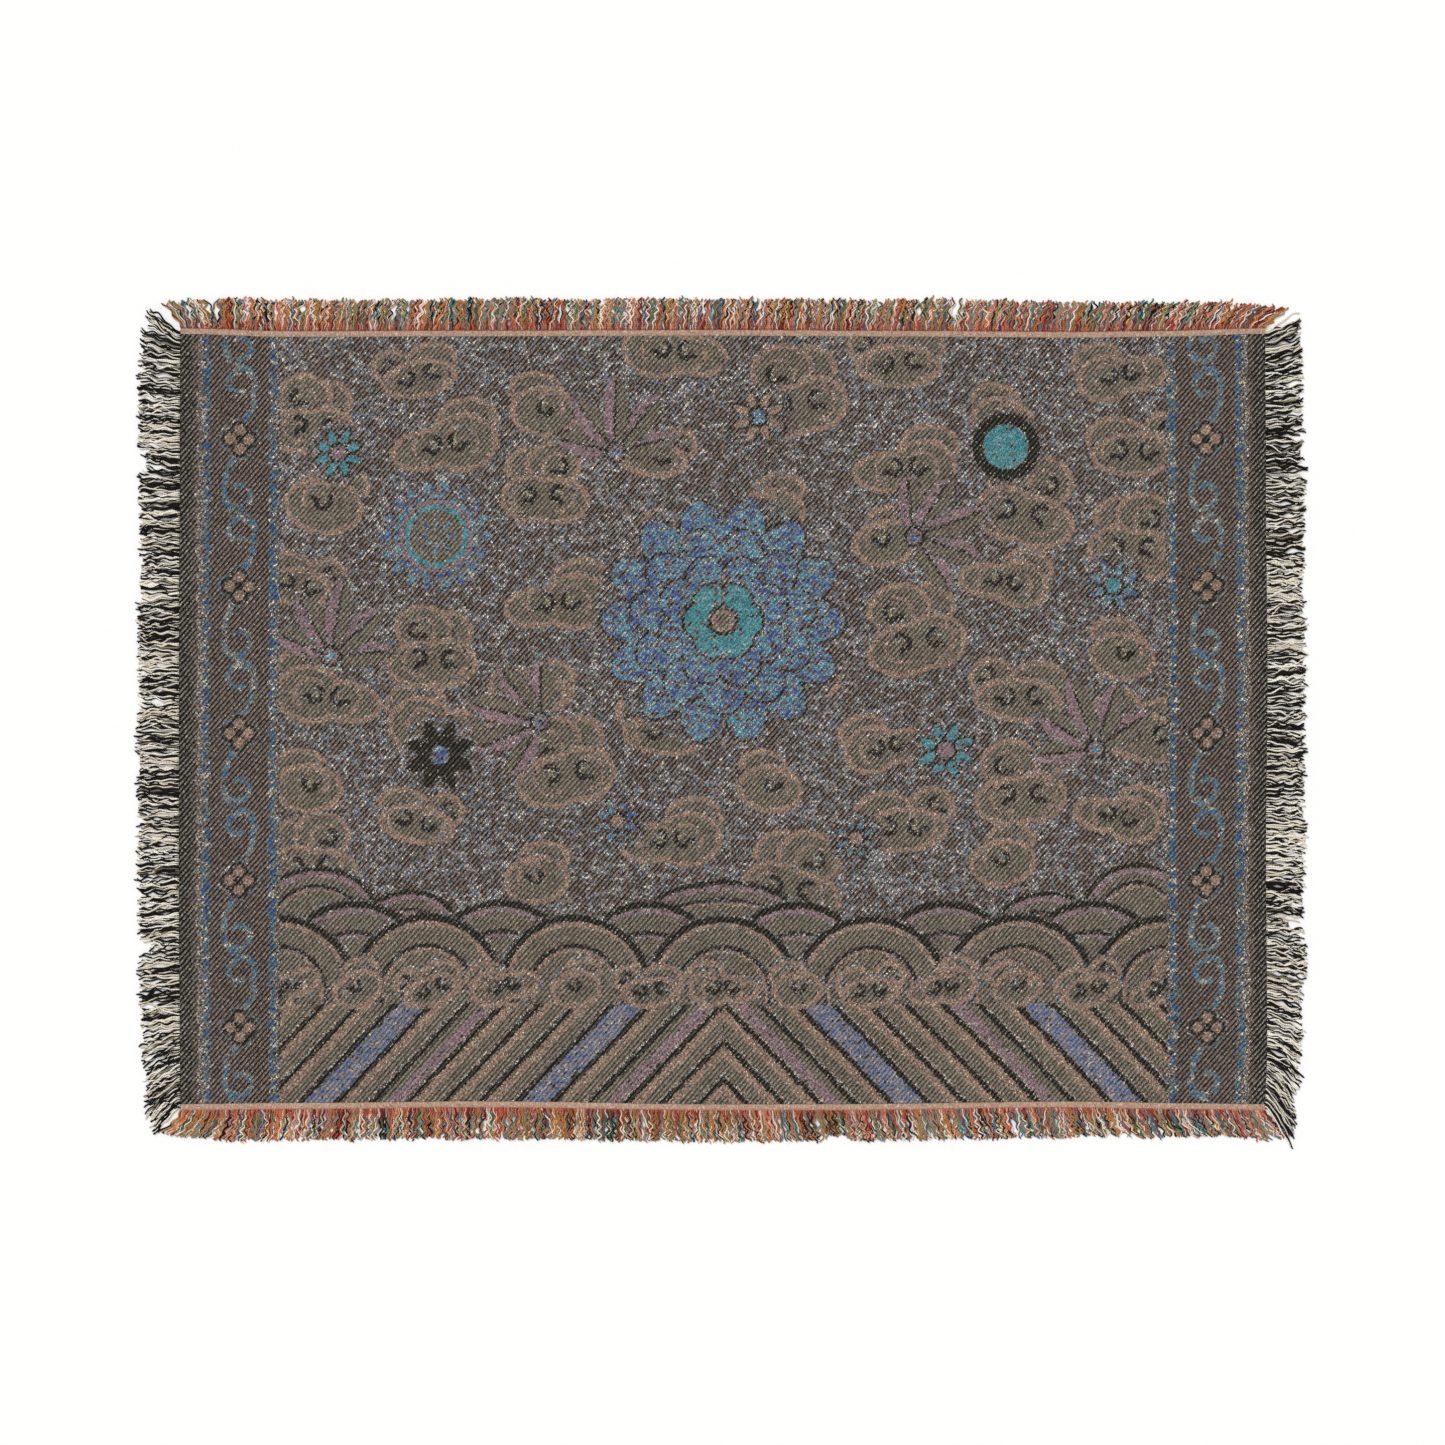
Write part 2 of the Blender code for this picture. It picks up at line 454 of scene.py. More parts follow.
def link_finish(
    tree: Tree,
    colour: Socket,
    height: Socket,
    distance: float,
    strength: float = BUMP_STRENGTH,
) -> None:
    """Links a finished pattern to the tree's Principled shader.

    Args:
        tree: the material's node tree.
        colour: the colour to show.
        height: the bump's height, from 0 to about 1.
        distance: how high 1 is, in metres.
        strength: how much of the bump shows.
    """
    bump = {"Height": height, "Distance": distance, "Strength": strength}
    shader = tree.nodes["Principled BSDF"]
    tree.links.new(colour, shader.inputs["Base Color"])
    tree.links.new(add_node(tree, "Bump", bump), shader.inputs["Normal"])


class Area(Enum):
    """The parts of the design that are woven in their own yarns, by attribute name."""

    TAUPE = "taupe"
    PEACH = "peach"
    LILAC = "lilac"
    BLUE = "blue"
    TEAL = "teal"
    VINE = "vine"
    CREAM = "cream"
    DARK = "dark"


class Weave(NamedTuple):
    """What shows in one area of the cloth.

    The yarns are a ramp over chance. Twill is how deep the painted shade in the furrows is,
    and past 1 the shaded furrows are wider too. Mottle is the share of the choice that is made
    patch by patch, where the rest is made cell by cell. Bare is the share of the area where
    what lies under it shows.
    """

    yarns: tuple[Stop, ...]
    twill: float
    mottle: float = 0.0
    bare: float = 0.0


GROUND = Weave(
    yarns=(
        Stop(0.00, "#6e6158"), Stop(0.36, "#7c6e65"), Stop(0.66, "#85736b"),
        Stop(0.80, "#5f5854"), Stop(0.90, "#453d36"), Stop(0.95, "#9d9487"),
    ),
    twill=1.12,
)
SQUIGGLE = Weave(
    yarns=(
        Stop(0.00, "#473e37"), Stop(0.25, "#86776c"), Stop(0.42, "#9b848a"),
        Stop(0.51, "#a1978a"), Stop(0.59, "#72858c"), Stop(0.68, "#628d8e"),
        Stop(0.75, "#616c97"), Stop(0.83, "#dcd3c2"),
    ),
    twill=0.74,
    mottle=0.24,
)
DOTTED = Weave(
    yarns=(
        Stop(0.00, "#5b5249"), Stop(0.34, "#8b7b6d"), Stop(0.52, "#6d8087"),
        Stop(0.64, "#c6c0b1"), Stop(0.90, "#9a6f62"),
    ),
    twill=0.40,
    bare=0.10,
)
CREAM = Weave(
    yarns=(
        Stop(0.00, "#6c6153"), Stop(0.40, "#c2b798"), Stop(0.62, "#554d43"),
        Stop(0.80, "#9b9270"), Stop(0.92, "#71868f"),
    ),
    twill=0.20,
)
TAUPE = Weave(
    yarns=(
        Stop(0.00, "#786f61"), Stop(0.42, "#837a6b"), Stop(0.76, "#6b6357"),
        Stop(0.88, "#998f7f"),
    ),
    twill=0.82,
)
PEACH = Weave(
    yarns=(
        Stop(0.00, "#8b796c"), Stop(0.24, "#a5826f"), Stop(0.48, "#7c6f63"),
        Stop(0.62, "#9d7d75"), Stop(0.76, "#554c44"), Stop(0.85, "#91896d"),
        Stop(0.92, "#cbb6a0"),
    ),
    twill=0.42,
)
LILAC = Weave(
    yarns=(
        Stop(0.00, "#7b676c"), Stop(0.24, "#977b80"), Stop(0.48, "#76686a"),
        Stop(0.64, "#a3878d"), Stop(0.82, "#564c4a"), Stop(0.92, "#bfabaa"),
    ),
    twill=0.42,
    mottle=0.20,
    bare=0.08,
)
BLUE = Weave(
    yarns=(
        Stop(0.00, "#445695"), Stop(0.21, "#4a6c9e"), Stop(0.34, "#6a6676"),
        Stop(0.41, "#4d4a4c"), Stop(0.46, "#8398a3"), Stop(0.55, "#b0bab8"),
        Stop(0.60, "#5b7c8b"), Stop(0.70, "#4a869b"), Stop(0.82, "#45939f"),
        Stop(0.94, "#c3c5be"),
    ),
    twill=0.50,
    mottle=0.52,
    bare=0.28,
)
TEAL = Weave(
    yarns=(
        Stop(0.00, "#3a6b77"), Stop(0.24, "#46848b"), Stop(0.52, "#579196"),
        Stop(0.74, "#78969e"), Stop(0.86, "#5d6f76"), Stop(0.94, "#9db3b0"),
    ),
    twill=0.26,
    mottle=0.35,
    bare=0.10,
)
VINE = Weave(
    yarns=(
        Stop(0.00, "#44588c"), Stop(0.20, "#4d748a"), Stop(0.34, "#648a91"),
        Stop(0.47, "#756a64"), Stop(0.55, "#869294"), Stop(0.67, "#483f37"),
        Stop(0.78, "#a29a8d"), Stop(0.86, "#d2cfc4"),
    ),
    twill=0.58,
    mottle=0.50,
    bare=0.12,
)
BLUE_LINE = Weave(
    yarns=(
        Stop(0.00, "#475986"), Stop(0.26, "#4d6e82"), Stop(0.40, "#628289"),
        Stop(0.50, "#756a64"), Stop(0.57, "#8b9797"), Stop(0.65, "#302a26"),
        Stop(0.76, "#978f84"), Stop(0.85, "#dad6ca"),
    ),
    twill=0.74,
    mottle=0.60,
    bare=0.10,
)
SLATE = Weave(
    yarns=(
        Stop(0.00, "#515f90"), Stop(0.14, "#68748e"), Stop(0.32, "#7c8292"),
        Stop(0.50, "#878392"), Stop(0.64, "#8d7e7c"), Stop(0.76, "#66616a"),
        Stop(0.85, "#9da2a6"), Stop(0.94, "#c4c5c2"),
    ),
    twill=0.56,
    mottle=0.56,
    bare=0.10,
)
DARK = Weave(
    yarns=(
        Stop(0.00, "#39352d"), Stop(0.46, "#474239"), Stop(0.80, "#59544a"),
        Stop(0.96, "#a8a390"),
    ),
    twill=1.60,
)
EDGE = Weave(
    yarns=(
        Stop(0.00, "#625d53"), Stop(0.46, "#78736a"), Stop(0.78, "#9a9489"),
        Stop(0.92, "#2c2821"),
    ),
    twill=3.30,
)
AREA_WEAVES = {
    Area.TAUPE: TAUPE,
    Area.PEACH: PEACH,
    Area.LILAC: LILAC,
    Area.BLUE: BLUE,
    Area.TEAL: TEAL,
    Area.VINE: VINE,
    Area.CREAM: CREAM,
    Area.DARK: DARK,
}


class Band(NamedTuple):
    """A straight band of the design, from this many millimetres on."""

    start: float
    weave: Weave


# Side borders, outwards in: a dark edge, a dotted line and two blue lines on the ground
BORDER_BANDS = (
    Band(0.0, EDGE),
    Band(13.0, GROUND),
    Band(19.6, DOTTED),
    Band(22.2, GROUND),
    Band(23.6, DOTTED),
    Band(25.2, BLUE_LINE),
    Band(33.6, GROUND),
    Band(99.8, BLUE_LINE),
    Band(108.6, DOTTED),
    Band(110.2, GROUND),
)
BORDER_DEPTH = 112.0

# Slanting stripes: six of like width make a lap, and one of them is blue and one lilac
STRIPE_WIDTH = 29.3
PLAIN_STRIPE = (
    Band(0.0, DARK),
    Band(6.0, DOTTED),
    Band(8.4, TAUPE),
    Band(20.2, PEACH),
)
LILAC_STRIPE = (Band(0.0, DARK), Band(6.0, DOTTED), Band(8.4, LILAC), Band(21.0, TAUPE))
BLUE_STRIPE = (Band(0.0, DARK), Band(6.0, SLATE))
STRIPES = (PLAIN_STRIPE, PLAIN_STRIPE, LILAC_STRIPE, PLAIN_STRIPE, BLUE_STRIPE, PLAIN_STRIPE)
STRIPE_LAP = STRIPE_WIDTH * len(STRIPES)
STRIPE_BANDS = tuple(
    Band(STRIPE_WIDTH * number + band.start, band.weave)
    for number, stripe in enumerate(STRIPES)
    for band in stripe
)


def disc(x: Floats, y: Floats, radius: float) -> Floats:
    """Signed distance to a disc about the origin, positive inside, in millimetres."""
    return radius - np.hypot(x, y)


def oval(x: Floats, y: Floats, half_width: float, half_height: float) -> Floats:
    """Signed distance to an oval about the origin, close to exact near its outline.

    Args:
        x: millimetres to the right of the oval's middle.
        y: millimetres above it.
        half_width: half its width.
        half_height: half its height.

    Returns:
        The distance, positive inside.
    """
    share = np.hypot(x / half_width, y / half_height)
    slope = np.hypot(x / half_width**2, y / half_height**2) + TINY
    return share * (1.0 - share) / slope


def leaf(x: Floats, y: Floats, length: float, width: float) -> Floats:
    """Signed distance to a leaf with two pointed ends, lying along x, positive inside."""
    bulge = (length * length - width * width) / (4.0 * width)
    return bulge + width / 2.0 - np.hypot(x, np.abs(y) + bulge)


def polyline(x: Floats, y: Floats, points: Sequence[tuple[float, float]]) -> Floats:
    """Distance to a line through points, in millimetres.

    Args:
        x: millimetres to the right of the origin.
        y: millimetres above it.
        points: the line's points in order.

    Returns:
        The distance to the line's nearest stretch.
    """
    nearest = np.full(x.shape, FAR)
    for (start_x, start_y), (end_x, end_y) in zip(points, points[1:]):
        run_x, run_y = end_x - start_x, end_y - start_y
        along = ((x - start_x) * run_x + (y - start_y) * run_y) / (run_x**2 + run_y**2)
        along = np.clip(along, 0.0, 1.0)
        gap = np.hypot(x - start_x - along * run_x, y - start_y - along * run_y)
        nearest = np.minimum(nearest, gap)
    return nearest


class Curl(NamedTuple):
    """A line that winds inwards about a middle, anticlockwise where its sweep is positive.

    Radius and start are where its outer end is, in millimetres and degrees, sweep is how far
    it winds, and shrink is the share of its radius that it has lost at its inner end.
    """

    radius: float
    start: float
    sweep: float
    shrink: float


def hook(x: Floats, y: Floats, curl: Curl) -> Floats:
    """Distance to a line that winds inwards about the origin.

    Args:
        x: millimetres to the right of its middle.
        y: millimetres above it.
        curl: how it winds.

    Returns:
        The distance to its line.
    """
    turns = np.arange(CURL_STEPS + 1) / CURL_STEPS
    angles = np.radians(curl.start + curl.sweep * turns)
    radii = curl.radius * (1.0 - curl.shrink * turns**2)
    return polyline(x, y, list(zip(radii * np.cos(angles), radii * np.sin(angles))))


def turned(x: Floats, y: Floats, degrees: float) -> tuple[Floats, Floats]:
    """The same places seen from axes that are turned anticlockwise by an angle."""
    cos, sin = math.cos(math.radians(degrees)), math.sin(math.radians(degrees))
    return x * cos + y * sin, y * cos - x * sin


class Oval(NamedTuple):
    """One oval of a puff: its middle and its half sizes, in millimetres."""

    x: float
    y: float
    half_width: float
    half_height: float


class Hook(NamedTuple):
    """A dark hook in a puff: its middle, its turn in degrees, and 1 or -1 for its hand."""

    x: float
    y: float
    turn: float
    hand: float


class Puff(NamedTuple):
    """One rounded part of a scroll cloud: ovals that run together, and the hooks in them."""

    ovals: tuple[Oval, ...]
    hooks: tuple[Hook, ...] = ()


CLOUD_SHAPES = (
    (
        Puff(ovals=(Oval(17.0, 20.0, 28.0, 25.0),)),
        Puff(ovals=(Oval(-8.0, 24.0, 31.0, 26.0),), hooks=(Hook(-14.0, 21.0, 10.0, 1.0),)),
        Puff(
            ovals=(Oval(-10.0, -15.0, 37.0, 26.0), Oval(19.0, -12.0, 31.0, 27.0)),
            hooks=(Hook(-13.0, -9.0, -35.0, -1.0), Hook(21.0, -10.0, -15.0, 1.0)),
        ),
    ),
    (
        Puff(ovals=(Oval(25.0, 16.0, 31.0, 25.0),)),
        Puff(
            ovals=(Oval(-20.0, -4.0, 34.0, 21.0), Oval(18.0, -3.0, 34.0, 29.0)),
            hooks=(Hook(-13.0, -1.0, 15.0, -1.0), Hook(14.0, -2.0, 25.0, 1.0)),
        ),
    ),
    (
        Puff(ovals=(Oval(-9.0, 19.0, 31.0, 21.0),)),
        Puff(ovals=(Oval(2.0, -5.0, 39.0, 29.0),), hooks=(Hook(5.0, 0.0, 50.0, 1.0),)),
    ),
    (
        Puff(ovals=(Oval(30.0, 12.0, 24.0, 22.0),), hooks=(Hook(36.0, 13.0, 0.0, 1.0),)),
        Puff(ovals=(Oval(-19.0, 9.0, 32.0, 24.0),)),
        Puff(
            ovals=(Oval(0.0, -9.0, 46.0, 24.0),),
            hooks=(Hook(-17.0, -5.0, 0.0, -1.0), Hook(15.0, -7.0, 30.0, 1.0)),
        ),
    ),
)

# A scallop's rings, inwards from its rim: what each is woven in, and where it starts and ends
SCALLOP_RINGS = (
    (Area.DARK, 0.0, 7.5),
    (Area.PEACH, 7.5, 13.5),
    (Area.TAUPE, 13.5, 33.0),
    (Area.DARK, 33.0, 37.5),
    (Area.PEACH, 37.5, 42.0),
    (Area.TAUPE, 42.0, 200.0),
)


class Spray(NamedTuple):
    """A spray of leaves: its foot, in millimetres from the lower edge's middle, and its turn."""

    x: float
    y: float
    turn: float


class Bloom(NamedTuple):
    """A small flower: its middle, its radius and what its petals and heart are woven in."""

    x: float
    y: float
    size: float
    petals: Area
    heart: Area


class Mound(NamedTuple):
    """A mound behind the waves: its foot's middle and its half sizes."""

    x: float
    y: float
    half_width: float
    half_height: float


SPRAYS = (
    Spray(x=-205.0, y=430.0, turn=165.0),
    Spray(x=-440.0, y=505.0, turn=80.0),
    Spray(x=215.0, y=640.0, turn=20.0),
    Spray(x=418.0, y=400.0, turn=110.0),
    Spray(x=-120.0, y=735.0, turn=90.0),
)
BLOOMS = (
    Bloom(x=-432.0, y=735.0, size=31.0, petals=Area.TEAL, heart=Area.LILAC),
    Bloom(x=-318.0, y=392.0, size=40.0, petals=Area.DARK, heart=Area.BLUE),
    Bloom(x=250.0, y=398.0, size=36.0, petals=Area.TEAL, heart=Area.LILAC),
    Bloom(x=438.0, y=585.0, size=33.0, petals=Area.BLUE, heart=Area.TEAL),
    Bloom(x=40.0, y=775.0, size=33.0, petals=Area.PEACH, heart=Area.BLUE),
    Bloom(x=-118.0, y=318.0, size=29.0, petals=Area.BLUE, heart=Area.PEACH),
    Bloom(x=150.0, y=300.0, size=27.0, petals=Area.VINE, heart=Area.PEACH),
)
MOUNDS = (
    Mound(x=-455.0, y=205.0, half_width=72.0, half_height=62.0),
    Mound(x=-352.0, y=190.0, half_width=60.0, half_height=50.0),
    Mound(x=466.0, y=205.0, half_width=66.0, half_height=66.0),
    Mound(x=365.0, y=190.0, half_width=64.0, half_height=48.0),
    Mound(x=0.0, y=200.0, half_width=96.0, half_height=52.0),
)


class Disc(NamedTuple):
    """One of a stack of discs, by what it is woven in and its radius."""

    area: Area
    radius: float


class Petals(NamedTuple):
    """A ring of round petals: its share of the flower's radius, their count, turn and rim."""

    share: float
    count: int
    turn: float
    area: Area
    rim: float


class ScallopRow(NamedTuple):
    """A row of scallops: its shift in steps, its rise, and what lines the scallops' rims."""

    shift: float
    rise: float
    lining: Area


# The hook in a cloud: a scroll line round it, specks inside it and a spur under it
CLAW_SCROLL = Curl(radius=18.0, start=-75.0, sweep=195.0, shrink=0.36)
CLAW_SPECKS = Curl(radius=5.0, start=60.0, sweep=170.0, shrink=0.30)
CLAW_CURL = Curl(radius=9.4, start=100.0, sweep=175.0, shrink=0.42)
CLAW_SPUR = ((-3.0, -7.5), (2.0, -3.5), (7.0, -6.0))

# The medallion's petals, as shares of each ring's radius, and its rings and heart
PETAL_FULLNESS = 0.84
PETAL_MIDDLE = 0.70
PETAL_REACH = 0.30
PETAL_FOOT = 0.78
MEDALLION_PETALS = (
    Petals(share=1.00, count=14, turn=0.0, area=Area.BLUE, rim=2.1),
    Petals(share=0.77, count=11, turn=9.0, area=Area.BLUE, rim=2.3),
    Petals(share=0.55, count=8, turn=20.0, area=Area.BLUE, rim=2.3),
    Petals(share=0.33, count=6, turn=0.0, area=Area.TEAL, rim=2.4),
)
MEDALLION_HEART = (Disc(Area.DARK, 17.0), Disc(Area.PEACH, 13.5), Disc(Area.TAUPE, 8.0))

# The roundel and the rayed ring: their middles, and their discs from the widest in
ROUNDEL_PLACE = (318.0, 742.0)
ROUNDEL_DISCS = (Disc(Area.DARK, 38.0), Disc(Area.TEAL, 26.0))
RAYED_RING_PLACE = (-322.0, 640.0)
RAYED_RING_REACH = 70.0
RAYED_RING_DISCS = (
    Disc(Area.TAUPE, 51.0),
    Disc(Area.BLUE, 47.0),
    Disc(Area.LILAC, 42.0),
    Disc(Area.TEAL, 36.0),
    Disc(Area.TAUPE, 30.0),
)
RAY_COUNT = 18
RAY_RADIUS = 57.0
RAY_HEIGHT = 7.0
RAY_GAP = 5.0
FLECK_COUNT = 8
FLECK_MIDDLE = 16.0
FLECK_LENGTH = 18.0
FLECK_WIDTH = 5.0

# A small flower, as shares of its radius but for the rim
BLOOM_PETAL_COUNT = 8
BLOOM_PETAL_MIDDLE = 0.56
BLOOM_PETAL_LENGTH = 0.94
BLOOM_PETAL_WIDTH = 0.42
BLOOM_RIM = 1.8
BLOOM_HEART_RIM = 0.36
BLOOM_HEART = 0.27

# A spray's leaves, the outer ones laid first and shorter. Its ribs are shares of the length
SPRAY_REACH = 90.0
LEAF_ORDER = (-2, 2, -1, 1, 0)
LEAF_SPREAD = 38.0
LEAF_LENGTH = 86.0
LEAF_SHORTENING = 9.0
LEAF_WIDTH = 28.0
LEAF_MIDDLE = 0.56
RIB_MIDDLE = 0.50
RIB_REACH = 0.44
RIB_OFFSET = 0.6
RIB_HALF_WIDTH = 1.3
SPRAY_HEART = (Disc(Area.DARK, 12.0), Disc(Area.LILAC, 9.0), Disc(Area.BLUE, 5.0))

# A mound's rings, inwards from its rim
MOUND_RINGS = (
    (Area.DARK, 0.0, 5.0),
    (Area.LILAC, 5.0, 12.0),
    (Area.TAUPE, 12.0, 20.0),
    (Area.DARK, 20.0, 24.0),
    (Area.PEACH, 24.0, 28.0),
    (Area.TAUPE, 28.0, 200.0),
)

# The waves: two rows of scallops, the back one half a step on and lined in lilac
SCALLOP_ROWS = (
    ScallopRow(shift=0.5, rise=28.0, lining=Area.LILAC),
    ScallopRow(shift=0.0, rise=12.0, lining=Area.PEACH),
)
SCALLOP_STEPS = range(-1, 5)
FOAM_STEPS = 6

# The vine, from a flower's middle to half way to the next: its curl, its stem and its link
VINE_CURL = Curl(radius=16.6, start=0.0, sweep=292.0, shrink=0.52)
VINE_CURL_PLACE = (1.0, 61.0)
VINE_STEM = ((17.0, 61.0), (15.0, 38.0), (7.0, 22.0))
VINE_LINK = ((17.0, 61.0), (16.0, 72.0), (9.0, 80.0), (0.0, 84.0))
VINE_PETAL_PLACE = 10.5
VINE_PETAL_DISCS = (Disc(Area.VINE, 13.0), Disc(Area.DARK, 10.2), Disc(Area.PEACH, 6.6))
VINE_HEART = 4.6


@dataclass
class Chart:
    """The woven design, kept as one field of signed distances for each area.

    A field is positive inside its area and falls by one for each millimetre away from it.
    The cloth's mesh carries the fields, so that the areas keep clean outlines between its
    points, and the shader frays them by single yarns. Sizes are in millimetres and angles
    in degrees.
    """

    across: Floats
    upward: Floats
    margin: float = 24.0
    gap: float = 2.5
    flower_gap: float = 4.0
    outline: float = 6.4
    scroll_width: float = 3.8
    claw_width: float = 4.8
    speck_width: float = 3.4
    cloud_pitch: tuple[float, float] = (131.0, 105.0)
    cloud_start: tuple[float, float] = (-458.0, 262.0)
    cloud_count: tuple[int, int] = (8, 6)
    cloud_reach: float = 70.0
    cloud_size: float = 1.06
    cloud_size_spread: float = 0.12
    cloud_wander: float = 16.0
    cloud_lift: float = 0.14
    cloud_tilt: float = 11.0
    foam_pitch: float = 82.0
    foam_rise: float = 20.0
    foam_reach: float = 60.0
    foam_size: float = 0.76
    foam_tilt: float = 4.0
    vine_repeat: float = 166.0
    vine_start: float = 85.5
    vine_inset: float = 67.0
    vine_width: float = 6.8
    stripe_height: float = 112.0
    stripe_angle: float = 46.0
    stripe_start: float = 16.3
    shore_depth: float = 34.0
    scallop_pitch: float = 166.0
    scallop_radius: float = 88.0
    medallion_height: float = 545.0
    medallion_radius: float = 140.0
    fields: dict[Area, Floats] = field(default_factory=dict)

    def __post_init__(self) -> None:
        """Starts every field well outside its area, unless the fields are given."""
        if not self.fields:
            self.fields = {area: np.full(self.across.shape, WELL_OUTSIDE) for area in Area}

    @contextmanager
    def about(self, x: float, y: float, reach: float) -> Iterator["Chart"]:
        """Opens the part of the chart around a place, to weave a motif there.

        Args:
            x: millimetres to the right of the cloth's middle.
            y: millimetres above its lower edge.
            reach: how far the motif goes each way.

        Yields:
            A chart of that part, measured from the place.
        """
        wide = reach + self.margin
        here = (np.abs(self.across - x) < wide) & (np.abs(self.upward - y) < wide)
        fields = {area: values[here] for area, values in self.fields.items()}
        part = Chart(self.across[here] - x, self.upward[here] - y, fields=fields)
        yield part
        for area, values in part.fields.items():
            self.fields[area][here] = values

    def inset(self) -> Floats:
        """Millimetres inwards from the nearer of the cloth's two side edges."""
        return FIELD_WIDTH / METRES_PER_MM / 2 - np.abs(self.across)

    def stripe_place(self) -> Floats:
        """Measures across the slanting stripes, which meet in a peak at the middle.

        Returns:
            Millimetres from the start of a lap.
        """
        turn = math.radians(self.stripe_angle)
        place = np.abs(self.across) * math.sin(turn) + self.upward * math.cos(turn)
        return place - self.stripe_start

    def clear(self, inside: Floats) -> None:
        """Takes every area away where a shape's distance is positive, back to the ground."""
        for area in Area:
            self.fields[area] = np.minimum(self.fields[area], -inside)

    def paint(self, area: Area, inside: Floats) -> None:
        """Weaves a shape in one area's yarns over all that was there."""
        kept = self.fields[area]
        self.clear(inside)
        self.fields[area] = np.maximum(kept, inside)

    def discs(self, stack: Sequence[Disc]) -> None:
        """Weaves discs about the chart's origin, each over the one before it."""
        for area, radius in stack:
            self.paint(area, disc(self.across, self.upward, radius))

    def cloud(self, shape: int, size: float, flip: float, tilt: float) -> None:
        """Weaves a scroll cloud: puffs with a peach outline, and dark hooks in them.

        Args:
            shape: which of the cloud shapes it has.
            size: its size beside the drawn one.
            flip: -1 to mirror it, else 1.
            tilt: how far it leans, in degrees.
        """
        u, v = turned(self.across / size * flip, self.upward / size, tilt)
        for puff in CLOUD_SHAPES[shape]:
            inside = np.full(u.shape, WELL_OUTSIDE)
            for part in puff.ovals:
                shaped = oval(u - part.x, v - part.y, part.half_width, part.half_height)
                inside = np.maximum(inside, shaped * size)
            self.clear(inside + self.gap)
            self.paint(Area.PEACH, inside)
            self.paint(Area.TAUPE, inside - self.outline)
            for each in puff.hooks:
                x, y = turned((u - each.x) * each.hand, v - each.y, each.turn)
                self.claw(x, y, size)

    def claw(self, x: Floats, y: Floats, size: float) -> None:
        """Weaves a dark hook with cream specks in it, at the end of a peach scroll line.

        Args:
            x: millimetres to the right of the hook's middle, before the cloud is sized.
            y: millimetres above it.
            size: the cloud's size.
        """
        lines = (
            (Area.PEACH, self.scroll_width, hook(x, y, CLAW_SCROLL)),
            (Area.CREAM, self.speck_width, hook(x, y, CLAW_SPECKS)),
            (Area.DARK, self.claw_width, hook(x, y, CLAW_CURL)),
            (Area.DARK, self.claw_width, polyline(x, y, CLAW_SPUR)),
        )
        for area, width, distance in lines:
            self.paint(area, width / 2 - distance * size)

    def clouds(self) -> None:
        """Weaves the drift of scroll clouds, each column half a step above the last.

        Sines of uneven multiples of the column and row make each cloud stray from its place.
        """
        columns, rows = self.cloud_count
        for column in range(columns):
            for row in range(rows):
                wander = math.sin(5.1 * column + 3.7 * row)
                x = self.cloud_start[0] + self.cloud_pitch[0] * column
                x += self.cloud_wander * wander
                lift = 0.5 * (column % 2) + self.cloud_lift * math.cos(4.3 * row + column)
                y = self.cloud_start[1] + self.cloud_pitch[1] * (row + lift)
                flip = 1.0 if (column + row) % 2 else -1.0
                shape = (3 * column + 2 * row + row // 2) % len(CLOUD_SHAPES)
                size = self.cloud_size + self.cloud_size_spread * wander
                with self.about(x, y, self.cloud_reach) as part:
                    part.cloud(shape, size, flip, self.cloud_tilt * wander)

    def petals(self, ring: Petals, radius: float) -> None:
        """Weaves a ring of round petals about the chart's origin, each with a dark rim.

        Args:
            ring: how many there are and what they are woven in.
            radius: how far the petals reach.
        """
        half_width = math.pi * radius / ring.count * PETAL_FULLNESS
        for step in range(ring.count):
            turn = ring.turn + 360.0 * step / ring.count
            along, beside = turned(self.across, self.upward, turn)
            along = along - radius * PETAL_MIDDLE
            inside = oval(along, beside, radius * PETAL_REACH, half_width)
            self.paint(Area.DARK, inside)
            self.paint(ring.area, inside - ring.rim)
        self.paint(ring.area, disc(self.across, self.upward, radius * PETAL_FOOT))

    def medallion(self) -> None:
        """Weaves the large many-petalled flower in the middle of the cloth, in blue."""
        radius = self.medallion_radius
        with self.about(0.0, self.medallion_height, radius) as part:
            part.clear(disc(part.across, part.upward, radius + part.flower_gap))
            for ring in MEDALLION_PETALS:
                part.petals(ring, radius * ring.share)
            part.discs(MEDALLION_HEART)

    def roundel(self) -> None:
        """Weaves a teal disc in a wide dark ring."""
        widest = ROUNDEL_DISCS[0].radius
        with self.about(*ROUNDEL_PLACE, widest + self.flower_gap) as part:
            part.clear(disc(part.across, part.upward, widest + part.flower_gap))
            part.discs(ROUNDEL_DISCS)

    def rayed_ring(self) -> None:
        """Weaves a ring of blue and lilac with short rays, and blue flecks in it."""
        with self.about(*RAYED_RING_PLACE, RAYED_RING_REACH) as part:
            x, y = part.across, part.upward
            rays = RAY_RADIUS + RAY_HEIGHT * np.cos(RAY_COUNT * np.arctan2(y, x))
            inside = disc(x, y, 0.0) + rays
            part.clear(inside + RAY_GAP)
            part.paint(Area.BLUE, inside)
            part.discs(RAYED_RING_DISCS)
            for step in range(FLECK_COUNT):
                along, beside = turned(x, y, 360.0 * step / FLECK_COUNT)
                fleck = leaf(along - FLECK_MIDDLE, beside, FLECK_LENGTH, FLECK_WIDTH)
                part.paint(Area.BLUE, fleck)

